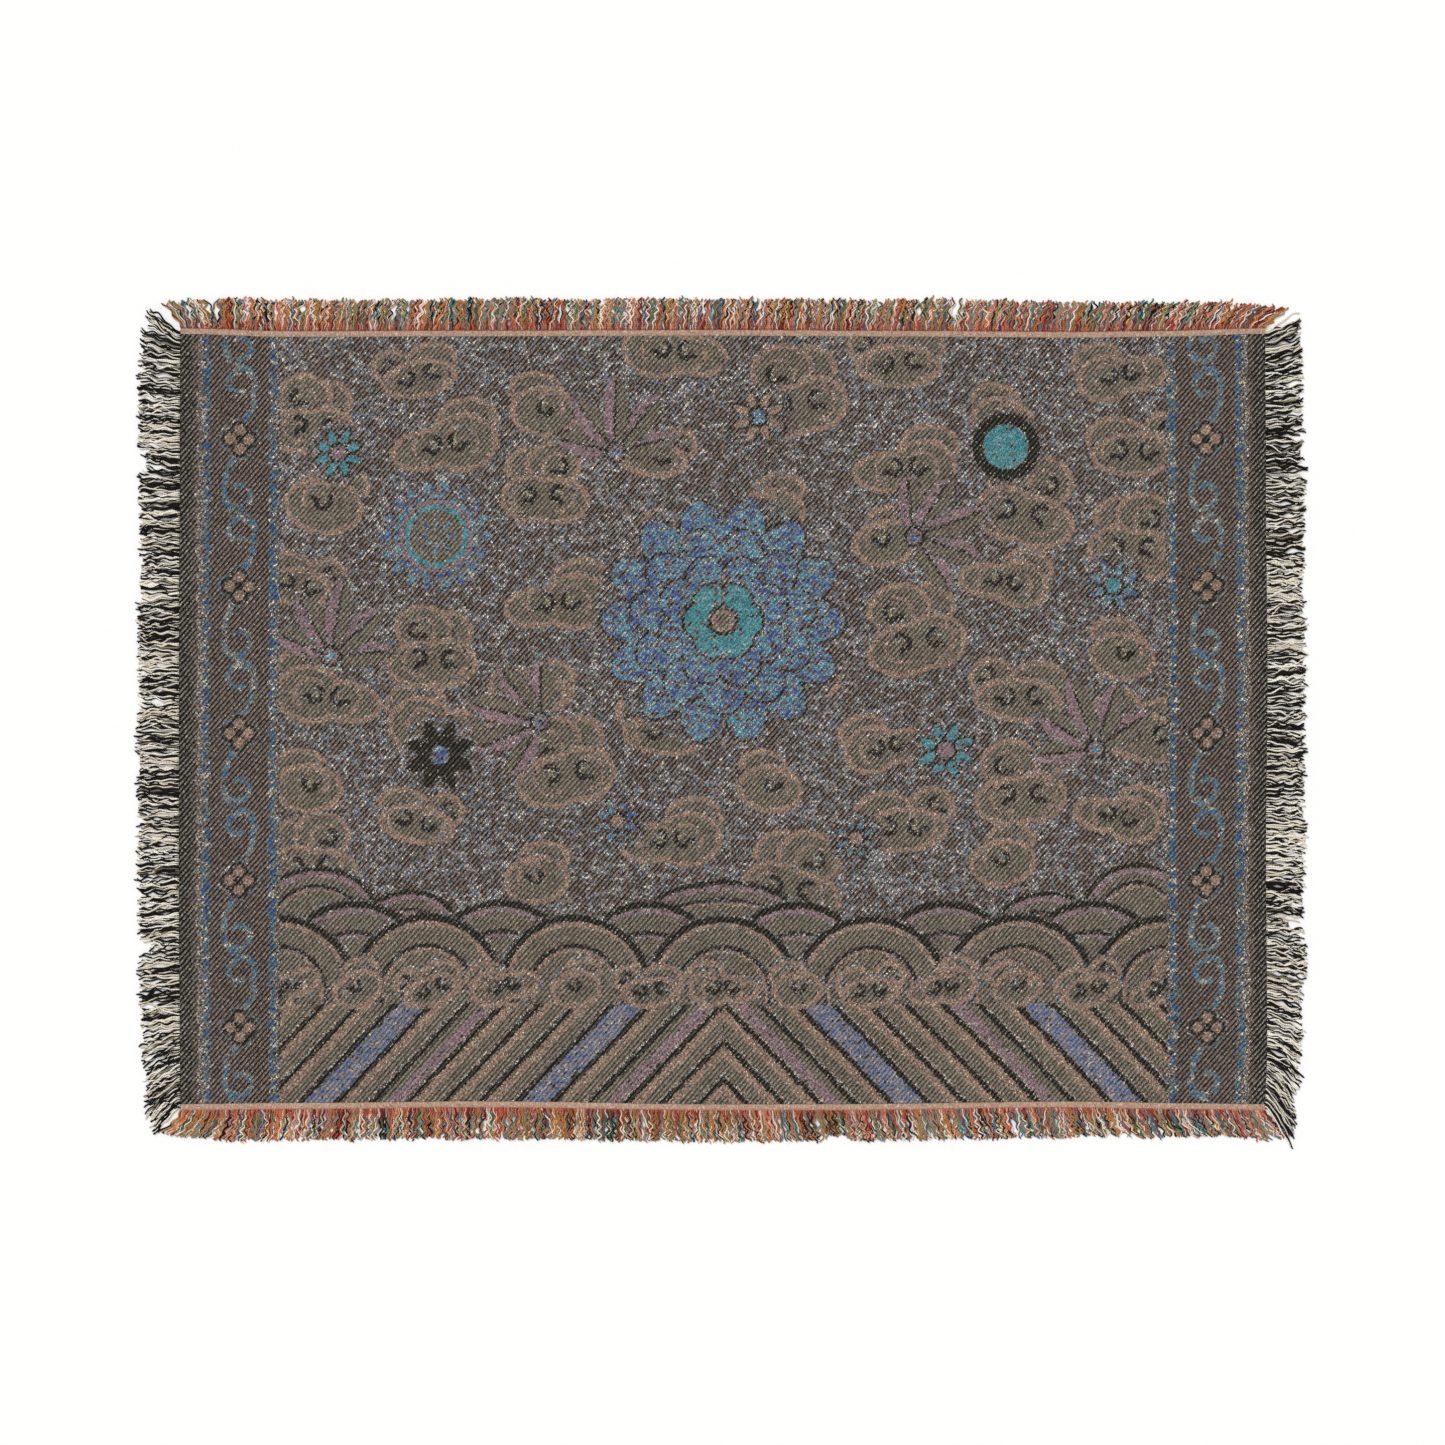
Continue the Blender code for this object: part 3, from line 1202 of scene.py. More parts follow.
    def bloom(self, bloom: Bloom) -> None:
        """Weaves a small flower of pointed petals.

        Args:
            bloom: its size and what it is woven in.
        """
        size = bloom.size
        self.clear(disc(self.across, self.upward, size + self.flower_gap))
        length, width = size * BLOOM_PETAL_LENGTH, size * BLOOM_PETAL_WIDTH
        for step in range(BLOOM_PETAL_COUNT):
            turn = 360.0 * (step + 0.5) / BLOOM_PETAL_COUNT
            along, beside = turned(self.across, self.upward, turn)
            petal = leaf(along - size * BLOOM_PETAL_MIDDLE, beside, length, width)
            self.paint(Area.DARK, petal)
            self.paint(bloom.petals, petal - BLOOM_RIM)
        rim, heart = size * BLOOM_HEART_RIM, size * BLOOM_HEART
        self.discs((Disc(Area.DARK, rim), Disc(bloom.heart, heart)))

    def spray(self, turn: float) -> None:
        """Weaves a spray of long leaves, each lilac on one side of its dark rib.

        Args:
            turn: where its middle leaf points, in degrees.
        """
        u, v = turned(self.across, self.upward, turn)
        for step in LEAF_ORDER:
            along, beside = turned(u, v, LEAF_SPREAD * step)
            length = LEAF_LENGTH - LEAF_SHORTENING * abs(step)
            inside = leaf(along - LEAF_MIDDLE * length, beside, length, LEAF_WIDTH)
            self.clear(inside + self.gap)
            self.paint(Area.TAUPE, inside)
            self.paint(Area.LILAC, np.minimum(inside, beside))
            rib = RIB_HALF_WIDTH - np.abs(beside - RIB_OFFSET)
            run = RIB_REACH * length - np.abs(along - RIB_MIDDLE * length)
            self.paint(Area.DARK, np.minimum(rib, run))
        self.discs(SPRAY_HEART)

    def mound(self, mound: Mound) -> None:
        """Weaves a mound: rings of dark, lilac and taupe, with a smaller mound in them.

        Args:
            mound: its half sizes.
        """
        inside = oval(self.across, self.upward, mound.half_width, mound.half_height)
        self.clear(inside + self.gap)
        for area, start, end in MOUND_RINGS:
            self.paint(area, np.minimum(inside - start, end - inside))

    def scallops(self) -> None:
        """Weaves the rows of wave scallops with dark rims, and the scroll foam before them."""
        shore = self.upward - self.stripe_height
        self.clear(self.shore_depth - shore)
        side = np.abs(self.across)
        for row in SCALLOP_ROWS:
            for step in SCALLOP_STEPS:
                x = (step + row.shift) * self.scallop_pitch
                arc = self.scallop_radius - np.hypot(side - x, shore - row.rise)
                self.clear(np.minimum(arc, shore) + self.gap)
                for area, start, end in SCALLOP_RINGS:
                    ring = np.minimum(arc - start, end - arc)
                    woven = row.lining if area is Area.PEACH else area
                    self.paint(woven, np.minimum(ring, shore))
        for step in range(-FOAM_STEPS, FOAM_STEPS + 1):
            x, y = self.foam_pitch * step, self.stripe_height + self.foam_rise
            shape = (step + FOAM_STEPS) % (len(CLOUD_SHAPES) - 1) + 1
            flip = 1.0 if step > 0 else -1.0
            with self.about(x, y, self.foam_reach) as part:
                part.cloud(shape, self.foam_size, flip, self.foam_tilt * step)

    def vine(self) -> None:
        """Weaves the scroll vine of the side borders, with a flower at each repeat."""
        inset = self.inset()
        self.clear(BORDER_DEPTH - inset)
        half = self.vine_repeat / 2
        v = (self.upward - self.vine_start + half) % self.vine_repeat - half
        u = (inset - self.vine_inset) * -np.sign(self.across)
        above, across = np.abs(v), np.where(v > 0.0, u, -u)
        scroll = hook(across - VINE_CURL_PLACE[0], above - VINE_CURL_PLACE[1], VINE_CURL)
        stem = polyline(across, above, VINE_STEM)
        link = polyline(across, above, VINE_LINK)
        line = np.minimum(np.minimum(scroll, stem), link)
        self.paint(Area.VINE, self.vine_width / 2 - line)
        for area, radius in VINE_PETAL_DISCS:
            for turn in (0, 90, 180, 270):
                along, beside = turned(u, v, turn)
                self.paint(area, disc(along - VINE_PETAL_PLACE, beside, radius))
        self.paint(Area.DARK, disc(u, v, VINE_HEART))

    def weave(self) -> None:
        """Weaves the whole design, from the back to the front."""
        self.clouds()
        for spray in SPRAYS:
            with self.about(spray.x, spray.y, SPRAY_REACH) as part:
                part.spray(spray.turn)
        self.medallion()
        self.roundel()
        self.rayed_ring()
        for bloom in BLOOMS:
            with self.about(bloom.x, bloom.y, bloom.size) as part:
                part.bloom(bloom)
        for mound in MOUNDS:
            with self.about(mound.x, mound.y, mound.half_width) as part:
                part.mound(mound)
        self.scallops()
        self.vine()


class Loom:
    """Builds the face's shader one layer at a time, from the ground to the front.

    Each cell of the sett has chance numbers of its own, and so has each patch of a few
    cells, so that a layer mixes its yarns thread by thread and patch by patch.
    """

    def __init__(self, tree: Tree, face: "JacquardFace") -> None:
        """Works out the chances and starts with the plain ground.

        Args:
            tree: the node tree to build in.
            face: the finish, which holds the pattern's sizes.
        """
        self.tree = tree
        self.face = face
        self.place = add_node(tree, "TexCoord", output="Object")
        self.cell = sett_cell(tree, self.place)
        noise = add_node(tree, "TexWhiteNoise", {0: self.cell}, "Color", noise_dimensions="3D")
        chances = add_node(tree, "SeparateColor", {0: noise})
        self.pick, self.loose, self.grain = chances.node.outputs
        self.patch, self.gap = self.patches()
        size = {"Vector": self.place, "Scale": 1.0 / face.waver_size, "Detail": 1.0}
        wander = add_node(tree, "TexNoise", size)
        self.waver = add_node(tree, "MapRange", face.waver.inputs(wander))
        single = add_node(tree, "MapRange", face.fray.inputs(self.loose))
        self.fray = add_node(tree, "Math", {0: single, 1: self.waver}, operation="ADD")
        self.colour = add_node(tree, "ValToRGB", {0: self.pick}, "Color", GROUND.yarns)
        self.shade_depth = add_node(tree, "MapRange", face.furrow_drift.inputs(wander))
        self.twill = GROUND.twill

    def patches(self) -> tuple[Socket, Socket]:
        """Makes patches a few cells wide that are drawn out along a slant.

        Returns:
            Two chances from 0 to 1, each with patches of its own.
        """
        tree, face = self.tree, self.face
        slant = add_node(
            tree,
            "Mapping",
            {
                "Vector": self.place,
                "Rotation": (0.0, 0.0, math.radians(-face.patch_slant)),
                "Scale": (1.0 / face.patch_stretch, 1.0, 1.0),
            },
        )
        size = {"Vector": slant, "Scale": 1.0 / face.patch_size, "Detail": 0.0}
        noise = add_node(tree, "TexNoise", size, "Color")
        first, second, _ = add_node(tree, "SeparateColor", {0: noise}).node.outputs
        first = add_node(tree, "MapRange", face.patch.inputs(first))
        second = add_node(tree, "MapRange", face.patch.inputs(second))
        return first, second

    def read(self, name: str) -> Socket:
        """A number that the mesh's points carry, with its edges frayed."""
        value = add_node(self.tree, "Attribute", output="Fac", attribute_name=name)
        return add_node(self.tree, "Math", {0: value, 1: self.fray}, operation="ADD")

    def lay(self, shown: Socket, weave: Weave) -> None:
        """Weaves one layer over what is there.

        Args:
            shown: 1 in the cells that the layer covers, else 0.
            weave: what it is woven of.
        """
        tree = self.tree
        choice = self.pick
        if weave.mottle:
            share = 1.0 - weave.mottle
            single = add_node(tree, "Math", {0: choice, 1: share}, operation="MULTIPLY")
            mixed = {0: self.patch, 1: weave.mottle, 2: single}
            choice = add_node(tree, "Math", mixed, operation="MULTIPLY_ADD")
        if weave.bare:
            closed = add_node(tree, "Math", {0: self.gap, 1: weave.bare}, operation="GREATER_THAN")
            shown = add_node(tree, "Math", {0: shown, 1: closed}, operation="MULTIPLY")
        yarn = add_node(tree, "ValToRGB", {0: choice}, "Color", weave.yarns)
        self.colour = add_node(tree, "MixRGB", {0: shown, 1: self.colour, 2: yarn})
        self.twill = add_node(tree, "Mix", {0: shown, 2: self.twill, 3: weave.twill})

    def near(self, value: Socket, line: float, width: Socket) -> Socket:
        """Draws a line where a value comes near to the line's own.

        Args:
            value: the value that makes the line.
            line: the line's own value.
            width: how far the value may be from it.

        Returns:
            1 on the line, else 0.
        """
        off = add_node(self.tree, "Math", {0: value, 1: line}, operation="SUBTRACT")
        off = add_node(self.tree, "Math", {0: off}, operation="ABSOLUTE")
        return add_node(self.tree, "Math", {0: off, 1: width}, operation="LESS_THAN")

    def squiggles(self) -> None:
        """Weaves pale speckled squiggles and small rings into the ground inside the borders.

        The squiggles run where a slow noise crosses its middle value, and the rings lie round
        scattered points. Both are wider in some patches, so that the ground looks shot with
        flecks of other wefts.
        """
        tree, face = self.tree, self.face
        noise = add_node(
            tree,
            "TexNoise",
            {
                "Vector": self.place,
                "Scale": 1.0 / face.squiggle_size,
                "Detail": 1.5,
                "Distortion": 0.6,
            },
        )
        rough = add_node(tree, "MapRange", face.squiggle_fray.inputs(self.fray))
        uneven = add_node(tree, "MapRange", face.squiggle_drift.inputs(self.patch))
        rough = add_node(tree, "Math", {0: rough, 1: uneven}, operation="MULTIPLY")
        width = add_node(tree, "Math", {0: rough, 1: face.squiggle_width}, operation="MULTIPLY")
        line = self.near(noise, 0.5, width)
        sway = face.ring_sway * METRES_PER_MM
        bent = {0: noise.node.outputs["Color"], 1: (sway, sway, 0.0), 2: self.place}
        bent = add_node(tree, "VectorMath", bent, operation="MULTIPLY_ADD")
        size = {"Vector": bent, "Scale": 1.0 / face.ring_pitch, "Randomness": 0.8}
        apart = add_node(tree, "TexVoronoi", size, "Distance", voronoi_dimensions="2D")
        width = add_node(tree, "Math", {0: rough, 1: face.ring_width}, operation="MULTIPLY")
        ring = self.near(apart, face.ring_radius, width)
        either = add_node(tree, "Math", {0: line, 1: ring}, operation="MAXIMUM")
        self.lay(either, SQUIGGLE)

    def bands(self, place: Socket, bands: Sequence[Band], length: float, shown: Socket) -> None:
        """Weaves straight bands over what is there.

        Args:
            place: millimetres across the bands.
            bands: where each starts and what it is woven of.
            length: where the last one ends.
            shown: 1 in the cells that they cover, else 0.
        """
        tree = self.tree
        share = add_node(tree, "Math", {0: place, 1: length}, operation="DIVIDE")
        for weave in {id(band.weave): band.weave for band in bands}.values():
            stops = tuple(
                Stop(band.start / length, "#ffffff" if band.weave is weave else "#000000")
                for band in bands
            )
            mask = add_node(tree, "ValToRGB", {0: share}, "Color", stops)
            mask = add_node(tree, "Math", {0: mask, 1: shown}, operation="MULTIPLY")
            self.lay(mask, weave)

    def furrows(self) -> Socket:
        """Cuts the twill's furrows, which climb to the right one cell at a time.

        Returns:
            How deep in a furrow each cell is, from 0 to 1, which sets its painted shade.
        """
        tree = self.tree
        column, row, _ = add_node(tree, "SeparateXYZ", {0: self.cell}).node.outputs
        step = add_node(tree, "Math", {0: column, 1: row}, operation="SUBTRACT")
        ends = float(TWILL_ENDS)
        phase = add_node(tree, "Math", {0: step, 1: ends}, operation="FLOORED_MODULO")
        share = add_node(tree, "Math", {0: phase, 1: ends}, operation="DIVIDE")
        return add_node(tree, "ValToRGB", {0: share}, "Color", self.face.furrow)

    def finish(self) -> None:
        """Paints shade into the furrows, varies each cell a little and links it all to the shader.
        """
        tree, face = self.tree, self.face
        uneven = add_node(tree, "MapRange", face.furrow_grain.inputs(self.loose))
        shade_depth = add_node(tree, "Math", {0: self.shade_depth, 1: self.twill}, operation="MULTIPLY")
        shade_depth = add_node(tree, "Math", {0: shade_depth, 1: uneven}, operation="MULTIPLY")
        # Painted shade: each cell's colour darkens with its depth in a furrow, down to black
        shade = add_node(tree, "Math", {0: self.furrows(), 1: shade_depth}, operation="MULTIPLY")
        lit = add_node(tree, "MapRange", face.furrow_light.inputs(shade))
        speck = add_node(tree, "MapRange", face.yarn_tone.inputs(self.grain))
        size = {"Vector": self.place, "Scale": 1.0 / face.tone_size, "Detail": 3.0}
        tone = add_node(tree, "TexNoise", size)
        drift = add_node(tree, "MapRange", face.tone_drift.inputs(tone))
        gain = add_node(tree, "Math", {0: lit, 1: speck}, operation="MULTIPLY")
        gain = add_node(tree, "Math", {0: gain, 1: drift}, operation="MULTIPLY")
        final = add_node(tree, "MixRGB", {0: 1.0, 1: self.colour, 2: gain}, blend_type="MULTIPLY")
        height = add_node(tree, "Math", {0: lit, 1: self.grain}, operation="ADD")
        link_finish(tree, final, height, face.bump_height)


@dataclass(frozen=True)
class JacquardFace:
    """Cotton jacquard: a twilled face of many coloured yarns, matt and grainy.

    Each cell of the sett shows one yarn, picked by chance from its area's yarns, so that
    the colours mix in specks as they do where several wefts share a shed. Furrows climb over
    them on the slant, as a twill's do, darkened by painted shade, and the bump lifts the ribs
    between. Fray and waver are how many millimetres single cells and longer runs stray over
    an area's edge. Sizes and pitches are in metres, and drifts and tones are factors.
    """

    name: str = "cotton_jacquard_face"
    roughness: float = 0.9
    sheen: float = 0.05
    fray: Spread = Spread(-1.3, 1.3)
    waver: Spread = Spread(-1.1, 1.1, 0.25, 0.75)
    waver_size: float = 0.008
    line_waver: float = 1.7
    squiggle_size: float = 0.021
    squiggle_width: float = 0.085
    squiggle_fray: Spread = Spread(0.0, 1.0, -4.0, 4.0)
    squiggle_drift: Spread = Spread(0.35, 1.65)
    ring_pitch: float = 0.0165
    ring_radius: float = 0.33
    ring_width: float = 0.17
    ring_sway: float = 9.0
    patch_size: float = 0.0050
    patch_slant: float = 42.0
    patch_stretch: float = 1.8
    patch: Spread = Spread(0.0, 1.0, 0.30, 0.70)
    # The furrows' painted shade: its profile over a twill step, its drift, its grain and its light
    furrow: tuple[Stop, ...] = (
        Stop(0.00, "#ffffff"), Stop(0.15, "#f0f0f0"), Stop(0.35, "#808080"),
        Stop(0.55, "#000000"),
    )
    furrow_drift: Spread = Spread(1.25, 0.75)
    furrow_grain: Spread = Spread(0.70, 1.25)
    furrow_light: Spread = Spread(1.0, 0.0)
    yarn_tone: Spread = Spread(0.54, 1.46)
    tone_size: float = 0.1111
    tone_drift: Spread = Spread(0.86, 1.12)
    bump_height: float = 0.00035

    def material(self) -> Material:
        """Builds the material.

        Returns:
            The material, which reads Object coordinates and the chart's attributes.
        """
        made = new_material(self.name, self.roughness, self.sheen)
        tree = made.node_tree
        loom = Loom(tree, self)
        loom.squiggles()
        below = add_node(tree, "Math", {0: loom.read("shore"), 1: 0.0}, operation="GREATER_THAN")
        stripe = {0: loom.read("stripe"), 1: STRIPE_LAP}
        lap = add_node(tree, "Math", stripe, operation="FLOORED_MODULO")
        loom.bands(lap, STRIPE_BANDS, STRIPE_LAP, below)
        inset = {0: loom.waver, 1: self.line_waver, 2: loom.read("inset")}
        inset = add_node(tree, "Math", inset, operation="MULTIPLY_ADD")
        within = add_node(tree, "Math", {0: inset, 1: BORDER_DEPTH}, operation="LESS_THAN")
        loom.bands(inset, BORDER_BANDS, BORDER_DEPTH, within)
        for area, weave in AREA_WEAVES.items():
            inside = loom.read(area.value)
            shown = add_node(tree, "Math", {0: inside, 1: 0.0}, operation="GREATER_THAN")
            loom.lay(shown, weave)
        loom.finish()
        return made


@dataclass(frozen=True)
class JacquardBack:
    """The cloth's reverse: the same cotton, where the yarns that the face hides float.

    Each cell shows one yarn at random, paler and more mixed than on the face and with no
    furrows, so that the underside looks like a plain speckled weave.
    """

    name: str = "cotton_jacquard_back"
    roughness: float = 0.92
    sheen: float = 0.10
    bump_height: float = 0.0003
    yarns: tuple[Stop, ...] = (
        Stop(0.00, "#8d8378"), Stop(0.35, "#a3958a"), Stop(0.60, "#8a6f64"),
        Stop(0.76, "#6a7780"), Stop(0.86, "#c4bba9"), Stop(0.94, "#4c473f"),
    )

    def material(self) -> Material:
        """Builds the material.

        Returns:
            The material, which reads Object coordinates.
        """
        made = new_material(self.name, self.roughness, self.sheen)
        tree = made.node_tree
        pick = sett_chance(tree)
        yarn = add_node(tree, "ValToRGB", {0: pick}, "Color", self.yarns)
        link_finish(tree, yarn, pick, self.bump_height)
        return made


@dataclass(frozen=True)
class PlainBand:
    """A plain-woven strip of cotton, where warp and weft cross one by one.

    Each cell shows one yarn at random with a low bump, which looks flat and grainy beside
    the twill. Past a share of the way out, many of the cells show the dots' colour instead,
    as the strip's last picks do where the fringe leaves it.
    """

    name: str
    yarns: tuple[Stop, ...]
    dots: str
    roughness: float = 0.9
    sheen: float = 0.10
    bump_height: float = 0.0003
    dot_out: float = 0.74
    dot_chance: float = 0.45

    def material(self) -> Material:
        """Builds the material.

        Returns:
            The material, which reads Object coordinates and the strip's own attribute.
        """
        made = new_material(self.name, self.roughness, self.sheen)
        tree = made.node_tree
        pick = sett_chance(tree)
        yarn = add_node(tree, "ValToRGB", {0: pick}, "Color", self.yarns)
        out = add_node(tree, "Attribute", output="Fac", attribute_name="out")
        beyond = add_node(tree, "Math", {0: out, 1: self.dot_out}, operation="GREATER_THAN")
        chance = add_node(tree, "Math", {0: pick, 1: self.dot_chance}, operation="GREATER_THAN")
        dotted = add_node(tree, "Math", {0: beyond, 1: chance}, operation="MULTIPLY")
        colour = add_node(tree, "MixRGB", {0: dotted, 1: yarn, 2: linear(self.dots)})
        link_finish(tree, colour, pick, self.bump_height)
        return made


@dataclass(frozen=True)
class CottonYarn:
    """Cut ends of two-ply carded cotton yarn: matt, a little hairy, twisted to the left.

    The yarn attribute picks each strand's colour, and the along attribute runs from its
    root to its cut end. A wave that winds round the strand paints shade into the groove
    between its two plies and a slight painted highlight onto their crowns, and sinks the
    groove in the bump, which shows the twist. Where it has a root fade, the root's colour
    tints the yarn and fades out along it.
    """

    name: str
    colours: tuple[Stop, ...]
    roughness: float = 0.95
    sheen: float = 0.04
    plies_per_length: float = 15.0
    # Painted shade in the grooves between the plies and a slight painted highlight on their crowns
    ply_shade_and_highlight: Spread = Spread(0.78, 1.10, -1.0, 1.0)
    root_colour: str = "#b0463c"
    root_fade: Spread | None = None
    bump_height: float = 0.0002
    bump_strength: float = 0.4

    def material(self) -> Material:
        """Builds the material.

        Returns:
            The material, which reads the strand's own attributes.
        """
        made = new_material(self.name, self.roughness, self.sheen)
        tree = made.node_tree
        yarn = add_node(tree, "Attribute", output="Fac", attribute_name="yarn")
        along = add_node(tree, "Attribute", output="Fac", attribute_name="along")
        around = add_node(tree, "Attribute", output="Fac", attribute_name="around")
        colour = add_node(tree, "ValToRGB", {0: yarn}, "Color", self.colours)
        if self.root_fade:
            near = add_node(tree, "MapRange", self.root_fade.inputs(along))
            root = linear(self.root_colour)
            colour = add_node(tree, "MixRGB", {0: near, 1: colour, 2: root})
        turns = {0: along, 1: self.plies_per_length, 2: around}
        turns = add_node(tree, "Math", turns, operation="MULTIPLY_ADD")
        wave = add_node(tree, "Math", {0: turns, 1: math.tau}, operation="MULTIPLY")
        wave = add_node(tree, "Math", {0: wave}, operation="SINE")
        # Painted shade in the ply grooves and a slight painted highlight on the plies' crowns
        ply = add_node(tree, "MapRange", self.ply_shade_and_highlight.inputs(wave))
        final = add_node(tree, "MixRGB", {0: 1.0, 1: colour, 2: ply}, blend_type="MULTIPLY")
        link_finish(tree, final, wave, self.bump_height, self.bump_strength)
        return made


TAN_BAND = PlainBand(
    name="cotton_plain_band",
    yarns=(
        Stop(0.00, "#a88a72"), Stop(0.26, "#b49581"), Stop(0.48, "#c3a592"),
        Stop(0.66, "#a99a78"), Stop(0.76, "#b98d83"), Stop(0.88, "#946e5d"),
        Stop(0.95, "#d6c1ae"),
    ),
    dots="#ad6654",
)
SELVAGE = PlainBand(
    name="cotton_selvage",
    yarns=(Stop(0.0, "#2b2620"), Stop(0.6, "#4a4238"), Stop(0.9, "#b8ab96")),
    dots="#2b2620",
)
WARP_YARN = CottonYarn(
    name="cotton_warp_yarn",
    colours=(
        Stop(0.00, "#8a3024"), Stop(0.06, "#b84a35"), Stop(0.12, "#d5866a"),
        Stop(0.20, "#cf7e42"), Stop(0.29, "#b58848"), Stop(0.37, "#9a8f54"),
        Stop(0.43, "#5c7046"), Stop(0.48, "#346654"), Stop(0.53, "#4f8688"),
        Stop(0.59, "#82968f"), Stop(0.64, "#525d80"), Stop(0.67, "#907c88"),
        # The near-black last yarn is partly a real dark yarn and partly painted shade between
        # strands
        Stop(0.70, "#f8ecd8"), Stop(0.80, "#e2bca4"), Stop(0.87, "#170d08"),
    ),
    root_fade=Spread(0.38, 0.0, 0.0, 0.42),
)
WEFT_YARN = CottonYarn(
    name="cotton_weft_yarn",
    colours=(
        # The black yarns are real, and their share is raised past it as painted shade between
        # strands
        Stop(0.00, "#0f0c08"), Stop(0.30, "#16120e"), Stop(0.57, "#faf4e6"),
        Stop(0.78, "#e6dcc8"), Stop(0.95, "#8a7f6d"),
    ),
)


def deselect_all() -> None:
    """Leaves nothing selected, so that the next operator acts on its own piece alone."""
    bpy.ops.object.select_all(action="DESELECT")


def select_only(piece: Piece) -> None:
    """Selects one piece alone and makes it the active one."""
    deselect_all()
    piece.select_set(True)
    bpy.context.view_layer.objects.active = piece


@contextmanager
def editing(piece: Piece) -> Iterator[None]:
    """Opens one piece for mesh operators, with all of it selected.

    Args:
        piece: the piece, which is left in object mode again.

    Yields:
        Nothing. The operators in the block act on the piece.
    """
    select_only(piece)
    bpy.ops.object.mode_set(mode="EDIT")
    bpy.ops.mesh.select_all(action="SELECT")
    yield
    bpy.ops.object.mode_set(mode="OBJECT")


def smooth(piece: Piece) -> None:
    """Shades the piece smooth, but for its sharp corners."""
    select_only(piece)
    bpy.ops.object.shade_smooth_by_angle(angle=SMOOTH_ANGLE)


def read_points(mesh: Mesh) -> Floats:
    """The mesh's points, one row of x, y and z each."""
    values = np.empty(len(mesh.vertices) * 3)
    mesh.vertices.foreach_get("co", values)
    return values.reshape(-1, 3)


def write_points(mesh: Mesh, points: Floats) -> None:
    """Moves the mesh's points to these places."""
    mesh.vertices.foreach_set("co", points.astype(np.float32).ravel())
    mesh.update()


def write_values(mesh: Mesh, name: str, values: Floats) -> None:
    """Gives each point of the mesh a number that its material reads by name."""
    layer = mesh.attributes.new(name, "FLOAT", "POINT")
    layer.data.foreach_set("value", values.astype(np.float32))


def write_bake_map(mesh: Mesh, places: Floats) -> None:
    """Gives each corner of the mesh its place on the map that finishes are baked through."""
    layer = mesh.uv_layers.new(name="OFBake")
    layer.data.foreach_set("uv", places.astype(np.float32).ravel())


def corner_points(mesh: Mesh) -> Integers:
    """For each corner of each face, the number of its point."""
    numbers = np.empty(len(mesh.loops), dtype=np.int32)
    mesh.loops.foreach_get("vertex_index", numbers)
    return numbers


def corner_faces(mesh: Mesh) -> Integers:
    """For each corner, the number of its face."""
    totals = np.empty(len(mesh.polygons), dtype=np.int32)
    mesh.polygons.foreach_get("loop_total", totals)
    return np.repeat(np.arange(len(totals)), totals)


